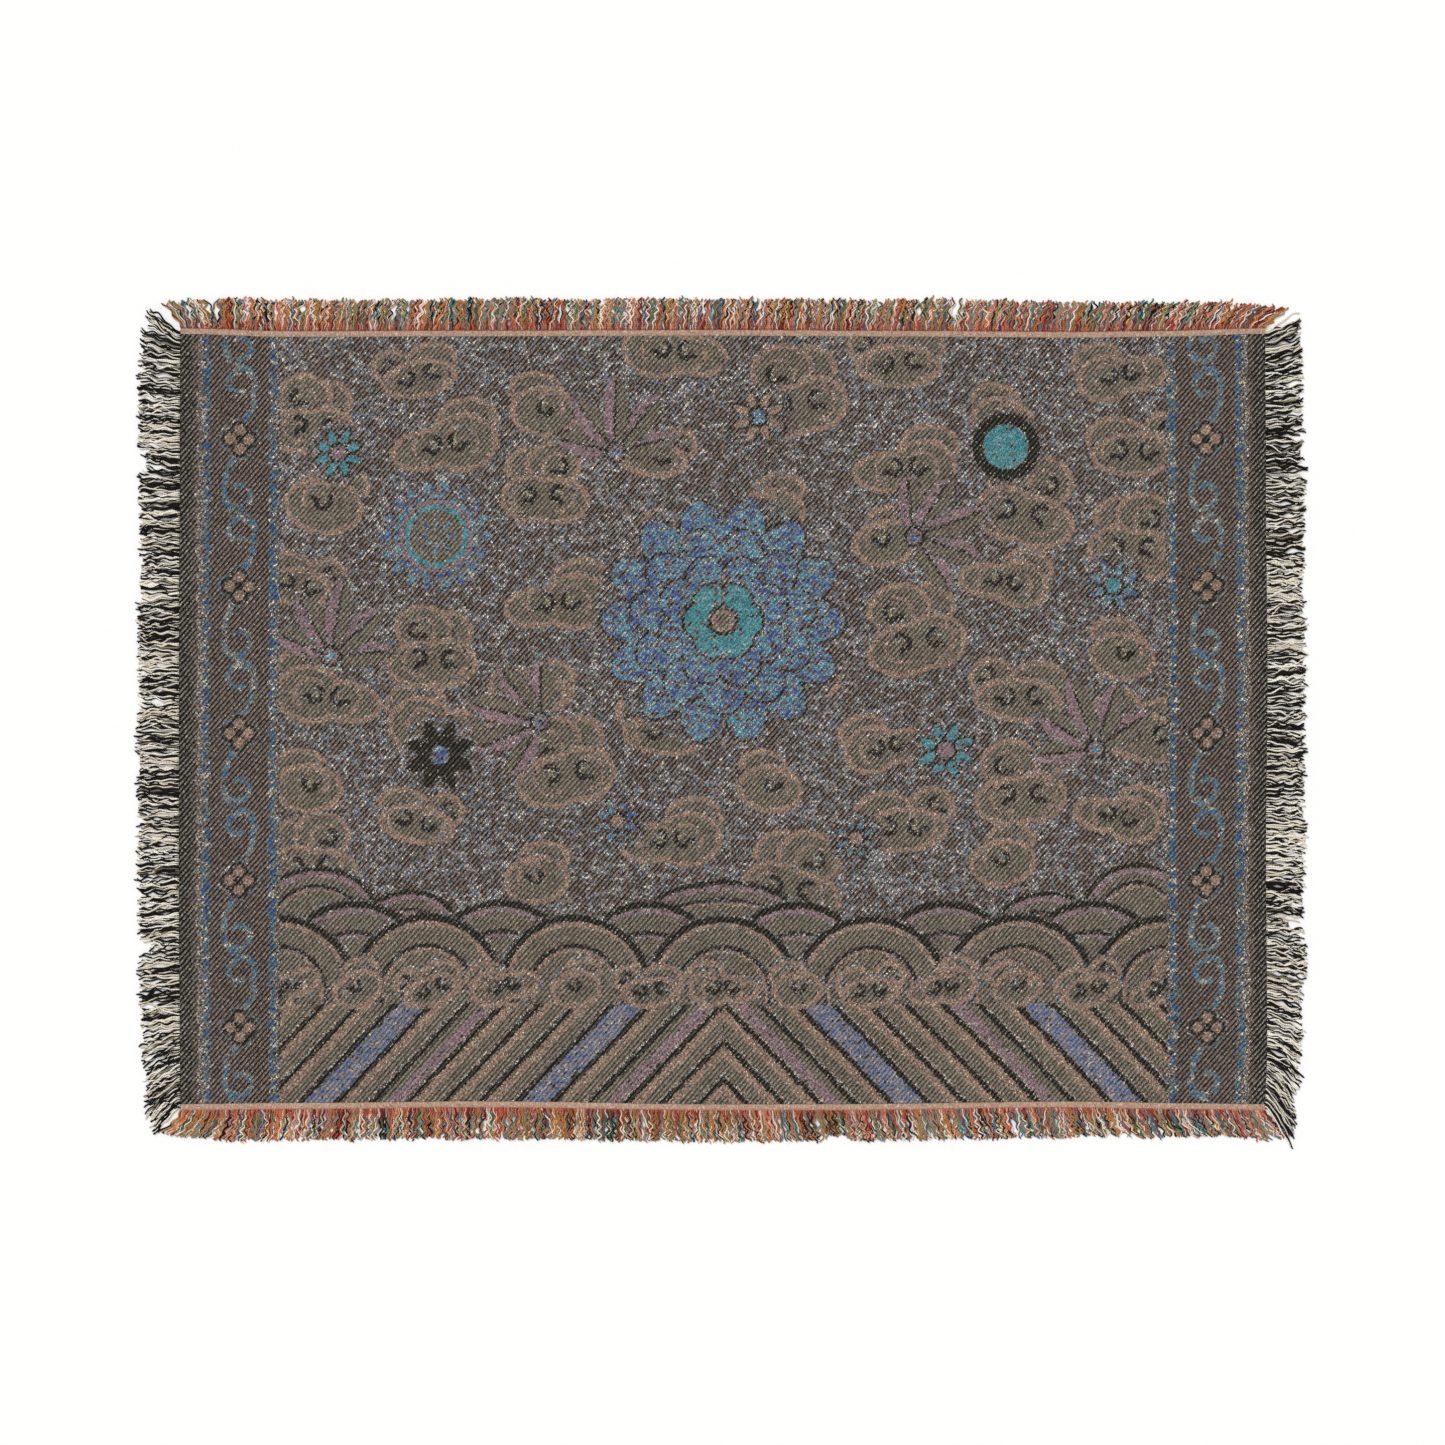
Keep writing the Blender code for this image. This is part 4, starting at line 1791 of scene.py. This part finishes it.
@dataclass
class WovenPanel:
    """The jacquard cloth: one sheet with a fine face, a coarser back and a thin rim.

    Its face ripples by less than the eye can follow but for the light on it, and the
    clouds and the blue flower stand up by their relief, which eases in over a few
    millimetres. Ripple holds the wave numbers of two crossed waves, in radians a metre.
    """

    middle: Floats
    face_cells: tuple[int, int] = (352, 250)
    back_cells: tuple[int, int] = (44, 31)
    unevenness: float = 0.00016
    ripple: tuple[float, float, float, float] = (191.0, 83.0, 167.0, 41.0)
    ripple_bend: float = 2.1
    relief: float = 0.00022
    relief_ease: float = 6.0
    field_reach: float = 20.0

    def build(self) -> Piece:
        """Models the sheet and gives it its charts and finishes.

        Returns:
            The finished piece.
        """
        panel = self.join_sheets()
        mesh = panel.data
        points = read_points(mesh)
        chart = Chart(
            across=points[:, 0] * FIELD_WIDTH / METRES_PER_MM,
            upward=(points[:, 1] + 0.5) * FIELD_HEIGHT / METRES_PER_MM,
        )
        chart.weave()
        self.write_chart(mesh, chart)
        self.write_map(mesh, points)
        write_points(mesh, self.settle(points, chart))
        self.dress(panel)
        return panel

    def join_sheets(self) -> Piece:
        """Adds a fine grid over a coarse one, and bridges their rims into a closed sheet.

        Returns:
            The sheet, of size 1 each way.
        """
        back = self.grid(self.back_cells, 0.0)
        face = self.grid(self.face_cells, 1.0)
        with editing(back):
            bpy.ops.mesh.flip_normals()
        face.select_set(True)
        bpy.context.view_layer.objects.active = face
        bpy.ops.object.join()
        with editing(face):
            bpy.ops.mesh.select_mode(type="EDGE")
            bpy.ops.mesh.select_all(action="DESELECT")
            bpy.ops.mesh.select_non_manifold()
            bpy.ops.mesh.bridge_edge_loops()
            bpy.ops.mesh.select_all(action="SELECT")
            bpy.ops.mesh.normals_make_consistent(inside=False)
            bpy.ops.mesh.select_all(action="DESELECT")
        face.name = "woven_panel"
        face.data.name = "woven_panel"
        return face

    def grid(self, cells: tuple[int, int], height: float) -> Piece:
        """Adds a flat grid of size 1.

        Args:
            cells: how many squares it has each way.
            height: its height.

        Returns:
            The grid.
        """
        deselect_all()
        bpy.ops.mesh.primitive_grid_add(
            x_subdivisions=cells[0], y_subdivisions=cells[1], size=1.0, location=(0.0, 0.0, height)
        )
        bpy.ops.object.transform_apply(location=True, rotation=True, scale=True)
        return bpy.context.object

    def write_chart(self, mesh: Mesh, chart: Chart) -> None:
        """Stores the chart on the mesh's points, for the face's material.

        Args:
            mesh: the cloth's mesh.
            chart: the woven design.
        """
        for area, values in chart.fields.items():
            write_values(mesh, area.value, np.clip(values, -self.field_reach, self.field_reach))
        write_values(mesh, "inset", chart.inset())
        write_values(mesh, "stripe", chart.stripe_place())
        write_values(mesh, "shore", chart.stripe_height - chart.upward)

    def write_map(self, mesh: Mesh, points: Floats) -> None:
        """Lays the face, the rim and the back apart on the bake map.

        The face takes the upper seven tenths, the back the lower left corner, and the rim's
        four sides are lanes at the lower right.

        Args:
            mesh: the cloth's mesh.
            points: its points while it is of size 1 each way.
        """
        corners = points[corner_points(mesh)]
        faces = corner_faces(mesh)
        heights = np.bincount(faces, weights=corners[:, 2]) / np.bincount(faces)
        height = heights[faces]
        across, upward = corners[:, 0] + 0.5, corners[:, 1] + 0.5
        u = FACE_ON_MAP.left + FACE_ON_MAP.width * across
        v = FACE_ON_MAP.low + FACE_ON_MAP.height * upward
        back = height < 0.01
        u[back] = (BACK_ON_MAP.left + BACK_ON_MAP.width * across)[back]
        v[back] = (BACK_ON_MAP.low + BACK_ON_MAP.height * upward)[back]
        rim = ~back & (height < 0.99)
        upright = np.abs(np.abs(corners[:, 0]) - 0.5) < CLOSE
        run = np.where(upright, upward, across)
        u[rim] = (RIM_LEFT + RIM_WIDTH * run)[rim]
        lane = np.where(upright, corners[:, 0], corners[:, 1] * 3.0) + 1.6
        v[rim] = (RIM_LOW + LANE_PITCH * lane + LANE_HEIGHT * corners[:, 2])[rim]
        write_bake_map(mesh, np.stack([u, v], axis=-1))

    def settle(self, points: Floats, chart: Chart) -> Floats:
        """Gives the plain sheet its size, its bowed edges and its slightly uneven face.

        Args:
            points: the plain sheet's points, at height 1 on the face and 0 on the back.
            chart: the woven design, whose clouds and blue flower stand up a little.

        Returns:
            The points in their places in the model.
        """
        x, y = points[:, 0] * FIELD_WIDTH, points[:, 1] * FIELD_HEIGHT
        across, upwards = points[:, 0] + 0.5, points[:, 1] + 0.5
        moved_x = x + RIGHT.bow(y) * across - LEFT.bow(y) * (1.0 - across)
        moved_y = y + TOP.bow(moved_x) * upwards - BOTTOM.bow(moved_x) * (1.0 - upwards)
        turns_x, turns_y = moved_x / PUCKER_LENGTH, moved_y / PUCKER_WIDTH
        wave = np.sin(math.tau * (turns_x + PUCKER_SLANT * turns_y))
        cross = np.cos(math.tau * (turns_y - PUCKER_CROSS_SLANT * turns_x))
        first, bend, second, slant = self.ripple
        ripple = np.sin(x * first + self.ripple_bend * np.sin(y * bend))
        ripple = ripple * np.sin(y * second + x * slant)
        raised = np.zeros(len(points))
        for area in (Area.TAUPE, Area.BLUE):
            raised += np.clip(chart.fields[area] / self.relief_ease, 0.0, 1.0)
        height = CLOTH_THICKNESS + PUCKER_HEIGHT * 0.5 * (wave + cross)
        height += self.unevenness * ripple + self.relief * raised
        height = np.where(points[:, 2] > 0.5, height, 0.0)
        return np.stack([moved_x + self.middle[0], moved_y + self.middle[1], height], axis=-1)

    def dress(self, panel: Piece) -> None:
        """Gives the face and rim the face's finish, and the underside the reverse's.

        Args:
            panel: the sheet in its place.
        """
        mesh = panel.data
        mesh.materials.append(JacquardFace().material())
        mesh.materials.append(JacquardBack().material())
        normals = np.empty(len(mesh.polygons) * 3)
        mesh.polygons.foreach_get("normal", normals)
        under = (normals.reshape(-1, 3)[:, 2] < DOWNWARDS).astype(np.int32)
        mesh.polygons.foreach_set("material_index", under)
        smooth(panel)


@dataclass
class Strip:
    """The narrow strip along one side that the fringe's yarns come out of.

    Its crown is highest along the middle and drops by a share towards both edges, and a
    fine weave ripples over it, by wave numbers in radians a metre and over its width.
    """

    side: Side
    middle: Floats
    thickness: float
    finish: PlainBand
    cells: tuple[int, int] = (300, 4)
    crown_drop: float = 0.30
    weave_height: float = 0.00012
    weave_along: float = 900.0
    weave_across: float = 9.0

    def build(self, name: str) -> Piece:
        """Models the strip as a thin closed band with a softened outer edge.

        Args:
            name: the piece's name.

        Returns:
            The finished piece.
        """
        deselect_all()
        bpy.ops.mesh.primitive_grid_add(
            x_subdivisions=self.cells[0], y_subdivisions=self.cells[1], size=1.0
        )
        strip = bpy.context.object
        strip.name = name
        strip.data.name = name
        with editing(strip):
            bpy.ops.mesh.extrude_region_move(TRANSFORM_OT_translate={"value": (0.0, 0.0, 1.0)})
        self.shape(strip.data)
        with editing(strip):
            bpy.ops.mesh.normals_make_consistent(inside=False)
        smooth(strip)
        strip.data.materials.append(self.finish.material())
        return strip

    def shape(self, mesh: Mesh) -> None:
        """Gives the plain slab its place along the cloth's edge and its low crown.

        Args:
            mesh: the slab, of size 1 each way.
        """
        points = read_points(mesh)
        share = points[:, 1] + 0.5
        along = points[:, 0] * self.side.length
        out = SEAM + share * (self.side.strip_width - SEAM)
        weave = np.sin(along * self.weave_along) * np.sin(share * self.weave_across)
        crown = self.thickness * (1.0 - self.crown_drop * (2.0 * share - 1.0) ** 4)
        height = np.where(points[:, 2] > 0.5, crown + self.weave_height * weave, 0.0)
        write_values(mesh, "out", share)
        write_points(mesh, self.side.to_world(along, out, height, self.middle))


@dataclass(frozen=True)
class Combing:
    """How one kind of fringe is spun, crimped and combed. Lengths are in metres.

    Sides are the flats round a yarn, rings are the steps along it, root_out is how far out
    of the cloth's edge it starts, and each yarn waves by its crimp and strays by its bend.
    Locks are bunches that lean and wave alike. Evenness and lean are standard deviations,
    and a range is what a factor is picked from. Alternate is the share of yarns that are
    dark and pale by turns.
    """

    finish: CottonYarn
    count: int
    radius: float
    rings: int
    root_out: float
    crimp: float
    crimp_length: float
    bend: float
    lock_width: float
    lock_lean: float
    yarn_lean: float
    lock_evenness: float
    yarn_evenness: float
    clump: float
    phase_spread: float
    short_share: float = 0.0
    alternate: float = 0.0
    usual_length: float = 0.965
    short_range: tuple[float, float] = (0.25, 0.60)
    short_shades: float = 0.22
    clump_ease: float = 1.5
    crimp_ease: float = 0.5
    swing_range: tuple[float, float] = (0.4, 1.5)
    pace_range: tuple[float, float] = (0.75, 1.30)
    pace_evenness: float = 0.06
    bend_turns: float = 0.65
    rest_height: float = 0.0007
    crest_height: float = 0.0026
    crest_range: tuple[float, float] = (0.4, 1.0)
    crest_foot: float = 0.25
    crest_start: float = 0.18
    crest_run: float = 1.15
    ripple_height: float = 0.0003
    ripple_turns: float = 2.3
    ripple_phase: float = 1.7
    size_range: tuple[float, float] = (0.82, 1.15)
    tip_start: float = 0.96
    tip_size: float = 0.75
    sides: int = 4


WARP_FRINGE = Combing(
    finish=WARP_YARN,
    count=1380,
    radius=0.00086,
    rings=17,
    root_out=BAND_WIDTH - 0.0012,
    crimp=0.0023,
    crimp_length=0.0120,
    bend=0.0022,
    lock_width=0.008,
    lock_lean=0.036,
    yarn_lean=0.085,
    lock_evenness=0.020,
    yarn_evenness=0.034,
    clump=0.12,
    phase_spread=0.42,
    short_share=0.12,
)
WEFT_FRINGE = Combing(
    finish=WEFT_YARN,
    count=780,
    radius=0.00096,
    rings=18,
    root_out=0.0004,
    crimp=0.0015,
    crimp_length=0.0185,
    bend=0.0026,
    lock_width=0.013,
    lock_lean=0.035,
    yarn_lean=0.05,
    lock_evenness=0.030,
    yarn_evenness=0.045,
    clump=0.22,
    phase_spread=0.40,
    alternate=0.92,
)


@dataclass
class Locks:
    """The locks of one side, with what each yarn takes from the lock that it is in."""

    count: int
    number: Integers
    middle: Floats
    lean: Floats
    length: Floats


@dataclass
class Fringe:
    """The cut yarns of one side, combed out over the floor in uneven locks."""

    side: Side
    middle: Floats
    work: Combing
    seed: int
    map_rows: int = 13

    def build(self, name: str) -> Piece:
        """Models every yarn along its own path, from one strand that is copied.

        Args:
            name: the piece's name.

        Returns:
            The finished piece.
        """
        count = self.work.count
        strand = self.strand()
        template = read_points(strand)
        level = np.rint(template[:, 2] * self.work.rings).astype(int)
        paths, sizes, shades = self.paths()
        points = self.sweep(template, level, paths, sizes)
        size = len(template)
        faces = [tuple(face.vertices) for face in strand.polygons]
        every_face = [
            tuple(size * yarn + number for number in face)
            for yarn in range(count)
            for face in faces
        ]
        mesh = bpy.data.meshes.new(name)
        mesh.from_pydata(points.reshape(-1, 3).tolist(), [], every_face)
        around = np.arctan2(template[:, 1], template[:, 0]) / math.tau
        write_values(mesh, "yarn", np.repeat(shades, size))
        write_values(mesh, "along", np.tile(template[:, 2], count))
        write_values(mesh, "around", np.tile(around, count))
        self.write_map(mesh, strand)
        bpy.data.meshes.remove(strand)
        fringe = bpy.data.objects.new(name, mesh)
        bpy.context.scene.collection.objects.link(fringe)
        mesh.polygons.foreach_set("use_smooth", np.ones(len(mesh.polygons), dtype=bool))
        mesh.materials.append(self.work.finish.material())
        return fringe

    def strand(self) -> Mesh:
        """Models one straight strand of height 1, drawn up ring by ring from a circle.

        Its faces point inwards, because the sweep mirrors it and so turns them outwards.

        Returns:
            The strand's mesh.
        """
        deselect_all()
        bpy.ops.mesh.primitive_circle_add(
            vertices=self.work.sides, radius=1.0, fill_type="NGON"
        )
        made = bpy.context.object
        step = (0.0, 0.0, 1.0 / self.work.rings)
        with editing(made):
            for _ in range(self.work.rings):
                bpy.ops.mesh.extrude_region_move(TRANSFORM_OT_translate={"value": step})
            bpy.ops.mesh.select_all(action="SELECT")
            bpy.ops.mesh.normals_make_consistent(inside=True)
        mesh = made.data
        bpy.data.objects.remove(made)
        return mesh

    def paths(self) -> tuple[Floats, Floats, Floats]:
        """Lays out every yarn.

        Returns:
            The middle of each yarn at each ring, its radius there, and its colour's place.
        """
        work, side = self.work, self.side
        chance = np.random.default_rng(self.seed)
        share = np.linspace(0.0, 1.0, work.rings + 1)[None, :]
        root = self.roots(chance)
        locks = self.locks(chance, root)
        lean, length, short = self.comb(chance, root, locks)
        out = share * (length / np.hypot(1.0, lean))[:, None]
        clump = chance.uniform(0.0, work.clump, work.count) * (locks.middle - root)
        phase, sway = self.sways(chance, share, length, locks)
        along = root[:, None] + lean[:, None] * out * share**LEAN_EASE
        along = along + clump[:, None] * share**work.clump_ease + sway
        height, sizes = self.heights(chance, share, phase)
        strip_share = (side.strip_width - work.root_out) / side.reach
        out = work.root_out + out * (1.0 + strip_share)
        paths = side.to_world(along, out, height, self.middle)
        return paths, sizes, self.shades(chance, short)

    def roots(self, chance: Chances) -> Floats:
        """Roots the yarns along the side, evenly but for half a step.

        Args:
            chance: the side's random numbers.

        Returns:
            The place of each yarn's root.
        """
        number, length = self.work.count, self.side.length
        pitch = length / number
        root = (np.arange(number) + 0.5) * pitch - length / 2
        root = root + chance.uniform(-0.5, 0.5, number) * pitch
        return np.clip(root, -length / 2, length / 2)

    def locks(self, chance: Chances, root: Floats) -> Locks:
        """Bunches the yarns into locks, with edges at random places along the side.

        Args:
            chance: the side's random numbers.
            root: where each yarn is rooted.

        Returns:
            The locks.
        """
        work, length = self.work, self.side.length
        edge_count = int(length / work.lock_width)
        count = edge_count + 1
        edges = np.sort(chance.uniform(-0.5, 0.5, edge_count)) * length
        number = np.searchsorted(edges, root)
        lean = chance.normal(0.0, work.lock_lean, count)[number]
        evenness = chance.normal(1.0, work.lock_evenness, count)[number]
        middle = np.zeros(len(root))
        for each in np.unique(number):
            middle[number == each] = root[number == each].mean()
        return Locks(count=count, number=number, middle=middle, lean=lean, length=evenness)

    def comb(
        self, chance: Chances, root: Floats, locks: Locks
    ) -> tuple[Floats, Floats, Flags]:
        """Leans each yarn and cuts it to length.

        Args:
            chance: the side's random numbers.
            root: where each yarn is rooted.
            locks: the locks that the yarns are in.

        Returns:
            The tangent of each yarn's lean, its length, and whether it is broken short.
        """
        work, side = self.work, self.side
        number = work.count
        lean = side.lean(root) + locks.lean + chance.normal(0.0, work.yarn_lean, number)
        evenness = chance.normal(work.usual_length, work.yarn_evenness, number)
        length = side.reach * locks.length * evenness * side.keep(root)
        short = chance.random(number) < work.short_share
        length[short] *= chance.uniform(*work.short_range, int(short.sum()))
        return lean, length, short

    def sways(
        self, chance: Chances, share: Floats, length: Floats, locks: Locks
    ) -> tuple[Floats, Floats]:
        """Waves each yarn by its crimp and its own slow bend.

        Args:
            chance: the side's random numbers.
            share: how far along a yarn each ring is.
            length: how long each yarn is.
            locks: the locks, whose yarns wave in step.

        Returns:
            The phase of each yarn's wave, and how far each ring swings along the side.
        """
        work = self.work
        number = work.count
        phase = chance.uniform(0.0, math.tau, locks.count)[locks.number]
        phase = phase + chance.normal(0.0, work.phase_spread, number)
        swing = work.crimp * chance.uniform(*work.swing_range, number)
        pace = chance.uniform(*work.pace_range, locks.count)[locks.number]
        pace = pace * length / work.crimp_length
        pace = pace * chance.normal(1.0, work.pace_evenness, number)
        wave = swing[:, None] * np.sin(math.tau * share * pace[:, None] + phase[:, None])
        bend = chance.normal(0.0, work.bend, number)[:, None]
        turn = chance.uniform(0.0, math.tau, number)[:, None]
        stray = bend * (np.sin(math.tau * work.bend_turns * share + turn) - np.sin(turn))
        return phase, wave * share**work.crimp_ease + stray

    def heights(
        self, chance: Chances, share: Floats, phase: Floats
    ) -> tuple[Floats, Floats]:
        """Arches each yarn over its neighbours and gives it its thickness.

        Args:
            chance: the side's random numbers.
            share: how far along a yarn each ring is.
            phase: the phase of each yarn's wave.

        Returns:
            The height of each ring's middle over the floor, and its radius.
        """
        work = self.work
        number = work.count
        crest = work.crest_height * chance.uniform(*work.crest_range, number)[:, None]
        run = np.clip(share * work.crest_run + work.crest_start, 0.0, 1.0)
        hump = work.crest_foot + (1.0 - work.crest_foot) * np.sin(run * math.pi)
        turns = math.tau * share * work.ripple_turns + phase[:, None] * work.ripple_phase
        lift = work.rest_height + crest * hump + work.ripple_height * np.sin(turns)
        sizes = work.radius * chance.uniform(*work.size_range, number)[:, None]
        sizes = sizes * np.where(share > work.tip_start, work.tip_size, 1.0)
        return np.maximum(lift, sizes), sizes

    def shades(self, chance: Chances, short: Flags) -> Floats:
        """Picks each yarn's place on its ramp of colours.

        Args:
            chance: the side's random numbers.
            short: whether each yarn is broken short.

        Returns:
            The places, from 0 to 1.
        """
        work = self.work
        number = work.count
        shades = chance.random(number)
        paired = chance.random(number) < work.alternate
        shades[paired] = (shades[paired] + np.arange(number)[paired] % 2) / 2.0
        shades[short] = chance.uniform(0.0, work.short_shades, int(short.sum()))
        return shades

    def sweep(
        self, template: Floats, level: Integers, paths: Floats, sizes: Floats
    ) -> Floats:
        """Bends mirrored copies of the straight strand along the yarns' paths.

        Args:
            template: the strand's points.
            level: the ring that each of them belongs to.
            paths: the middle of each yarn at each ring.
            sizes: the radius of each yarn at each ring.

        Returns:
            The points of every copy.
        """
        run = np.gradient(paths, axis=1)
        run /= np.linalg.norm(run, axis=2, keepdims=True)
        beside = np.cross(run, np.array([0.0, 0.0, 1.0]))
        beside /= np.linalg.norm(beside, axis=2, keepdims=True)
        above = np.cross(beside, run)
        sizes = sizes[:, level, None]
        ring_x = template[None, :, 0, None] * sizes
        ring_y = template[None, :, 1, None] * sizes
        return paths[:, level] + beside[:, level] * ring_x + above[:, level] * ring_y

    def write_map(self, mesh: Mesh, strand: Mesh) -> None:
        """Gives each yarn its own upright cell of the bake map, unrolled along its length.

        Args:
            mesh: the fringe's mesh.
            strand: the strand that it repeats.
        """
        points = read_points(strand)
        corners = corner_points(strand)
        faces = corner_faces(strand)
        around = np.arctan2(points[corners, 1], points[corners, 0]) / math.tau % 1.0
        along = points[corners, 2]
        for face in np.unique(faces):
            here = faces == face
            is_cap = np.ptp(along[here]) == 0.0
            if is_cap:
                tip = along[here].max() > 0.5
                turn = around[here] * math.tau
                around[here] = 0.5 + CAP_WIDTH * np.cos(turn)
                along[here] = (TIP_PLACE if tip else ROOT_PLACE) + CAP_HEIGHT * np.sin(turn)
            elif np.ptp(around[here]) > 0.5:
                around[here] = np.where(around[here] < 0.25, around[here] + 1.0, around[here])
        columns = math.ceil(self.work.count / self.map_rows)
        yarn = np.arange(self.work.count)[:, None]
        u = yarn % columns + YARN_ON_MAP.left + YARN_ON_MAP.width * around[None, :]
        v = yarn // columns + YARN_ON_MAP.low + YARN_ON_MAP.height * along[None, :]
        places = np.stack([u / columns, v / self.map_rows], axis=-1)
        write_bake_map(mesh, places.reshape(-1, 2))


@dataclass(frozen=True)
class Trim:
    """What one kind of side is trimmed with: its strip and its yarns, and a slot name, not used.
    """

    slot: str
    strip_name: str
    strip_finish: PlainBand
    strip_thickness: float
    yarns: Combing


END_TRIM = Trim(
    slot="warp_fringe",
    strip_name="band",
    strip_finish=TAN_BAND,
    strip_thickness=0.0019,
    yarns=WARP_FRINGE,
)
SIDE_TRIM = Trim(
    slot="weft_fringe",
    strip_name="selvage",
    strip_finish=SELVAGE,
    strip_thickness=0.0014,
    yarns=WEFT_FRINGE,
)
TRIMMED_SIDES = ((TOP, END_TRIM), (BOTTOM, END_TRIM), (LEFT, SIDE_TRIM), (RIGHT, SIDE_TRIM))


@dataclass
class Studio:
    """The pale floor, the soft light and the camera straight above the throw."""

    middle: Floats
    view_width: float = 1.6256
    lens: float = 85.0
    sensor: float = 36.0
    sight: float = 50.0
    aim_right: float = -0.0003
    aim_up: float = -0.0039
    floor_colour: str = "#fdfdfc"
    floor_roughness: float = 0.9
    floor_size: float = 60.0
    floor_drop: float = 0.0002
    air_strength: float = 0.60
    lamp_place: tuple[float, float, float] = (-1.6, 1.9, 3.0)
    lamp_tilt: tuple[float, float] = (-32.0, -28.0)
    lamp_spread: float = 38.0
    lamp_strength: float = 1.75

    def build(self) -> None:
        """Sets up everything that isn't part of the throw."""
        self.floor()
        self.lights()
        self.camera()
        scene = bpy.context.scene
        scene.view_settings.view_transform = "Standard"

    def floor(self) -> None:
        """Lays a wide matt floor under the throw, in one pale colour."""
        deselect_all()
        place = (0.0, 0.0, -self.floor_drop)
        bpy.ops.mesh.primitive_plane_add(size=self.floor_size, location=place)
        floor = bpy.context.object
        floor.name = "studio_floor"
        made = new_material("painted_studio_floor", self.floor_roughness, sheen=0.0)
        shader = made.node_tree.nodes["Principled BSDF"]
        shader.inputs["Base Color"].default_value = linear(self.floor_colour)
        floor.data.materials.append(made)

    def lights(self) -> None:
        """Lights the room evenly, with one broad lamp above and to the left."""
        world = bpy.data.worlds.new("studio_air")
        bpy.context.scene.world = world
        world.use_nodes = True
        background = world.node_tree.nodes["Background"]
        background.inputs["Color"].default_value = (1.0, 1.0, 1.0, 1.0)
        background.inputs["Strength"].default_value = self.air_strength
        deselect_all()
        bpy.ops.object.light_add(type="SUN", location=self.lamp_place)
        lamp = bpy.context.object
        lamp.name = "broad_lamp"
        tilt_x, tilt_y = self.lamp_tilt
        lamp.rotation_euler = (math.radians(tilt_x), math.radians(tilt_y), 0.0)
        lamp.data.angle = math.radians(self.lamp_spread)
        lamp.data.energy = self.lamp_strength

    def camera(self) -> None:
        """Hangs the camera over the throw, so that the view is as wide as the photo's."""
        data = bpy.data.cameras.new("overhead_camera")
        data.lens = self.lens
        data.sensor_width = self.sensor
        data.sensor_fit = "HORIZONTAL"
        data.clip_end = self.sight
        camera = bpy.data.objects.new("overhead_camera", data)
        bpy.context.scene.collection.objects.link(camera)
        camera.location = (
            self.middle[0] + self.aim_right,
            self.middle[1] + self.aim_up,
            self.view_width * self.lens / self.sensor + CLOTH_THICKNESS,
        )
        bpy.context.scene.camera = camera


def report_piece(piece: Piece) -> None:
    """Logs a finished piece with its size in faces."""
    LOG.info("%s: %d faces", piece.name, len(piece.data.polygons))


def main() -> None:
    """Builds the throw's pieces in order and hands each to the frame."""
    logging.basicConfig(level=logging.INFO, format="%(name)s: %(message)s")
    middle = cloth_middle()
    Studio(middle).build()
    panel = WovenPanel(middle).build()
    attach(panel, "root")
    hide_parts("woven_field")
    report_piece(panel)
    for number, (side, trim) in enumerate(TRIMMED_SIDES):
        place = side.node.removeprefix("fringe_")
        strip = Strip(side, middle, trim.strip_thickness, trim.strip_finish)
        strip = strip.build(f"{trim.strip_name}_{place}")
        fringe = Fringe(side, middle, trim.yarns, FRINGE_SEED + number).build(f"yarns_{place}")
        for piece in (strip, fringe):
            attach(piece, "root")
            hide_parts(side.node)
            report_piece(piece)


if __name__ == "__main__":
    main()
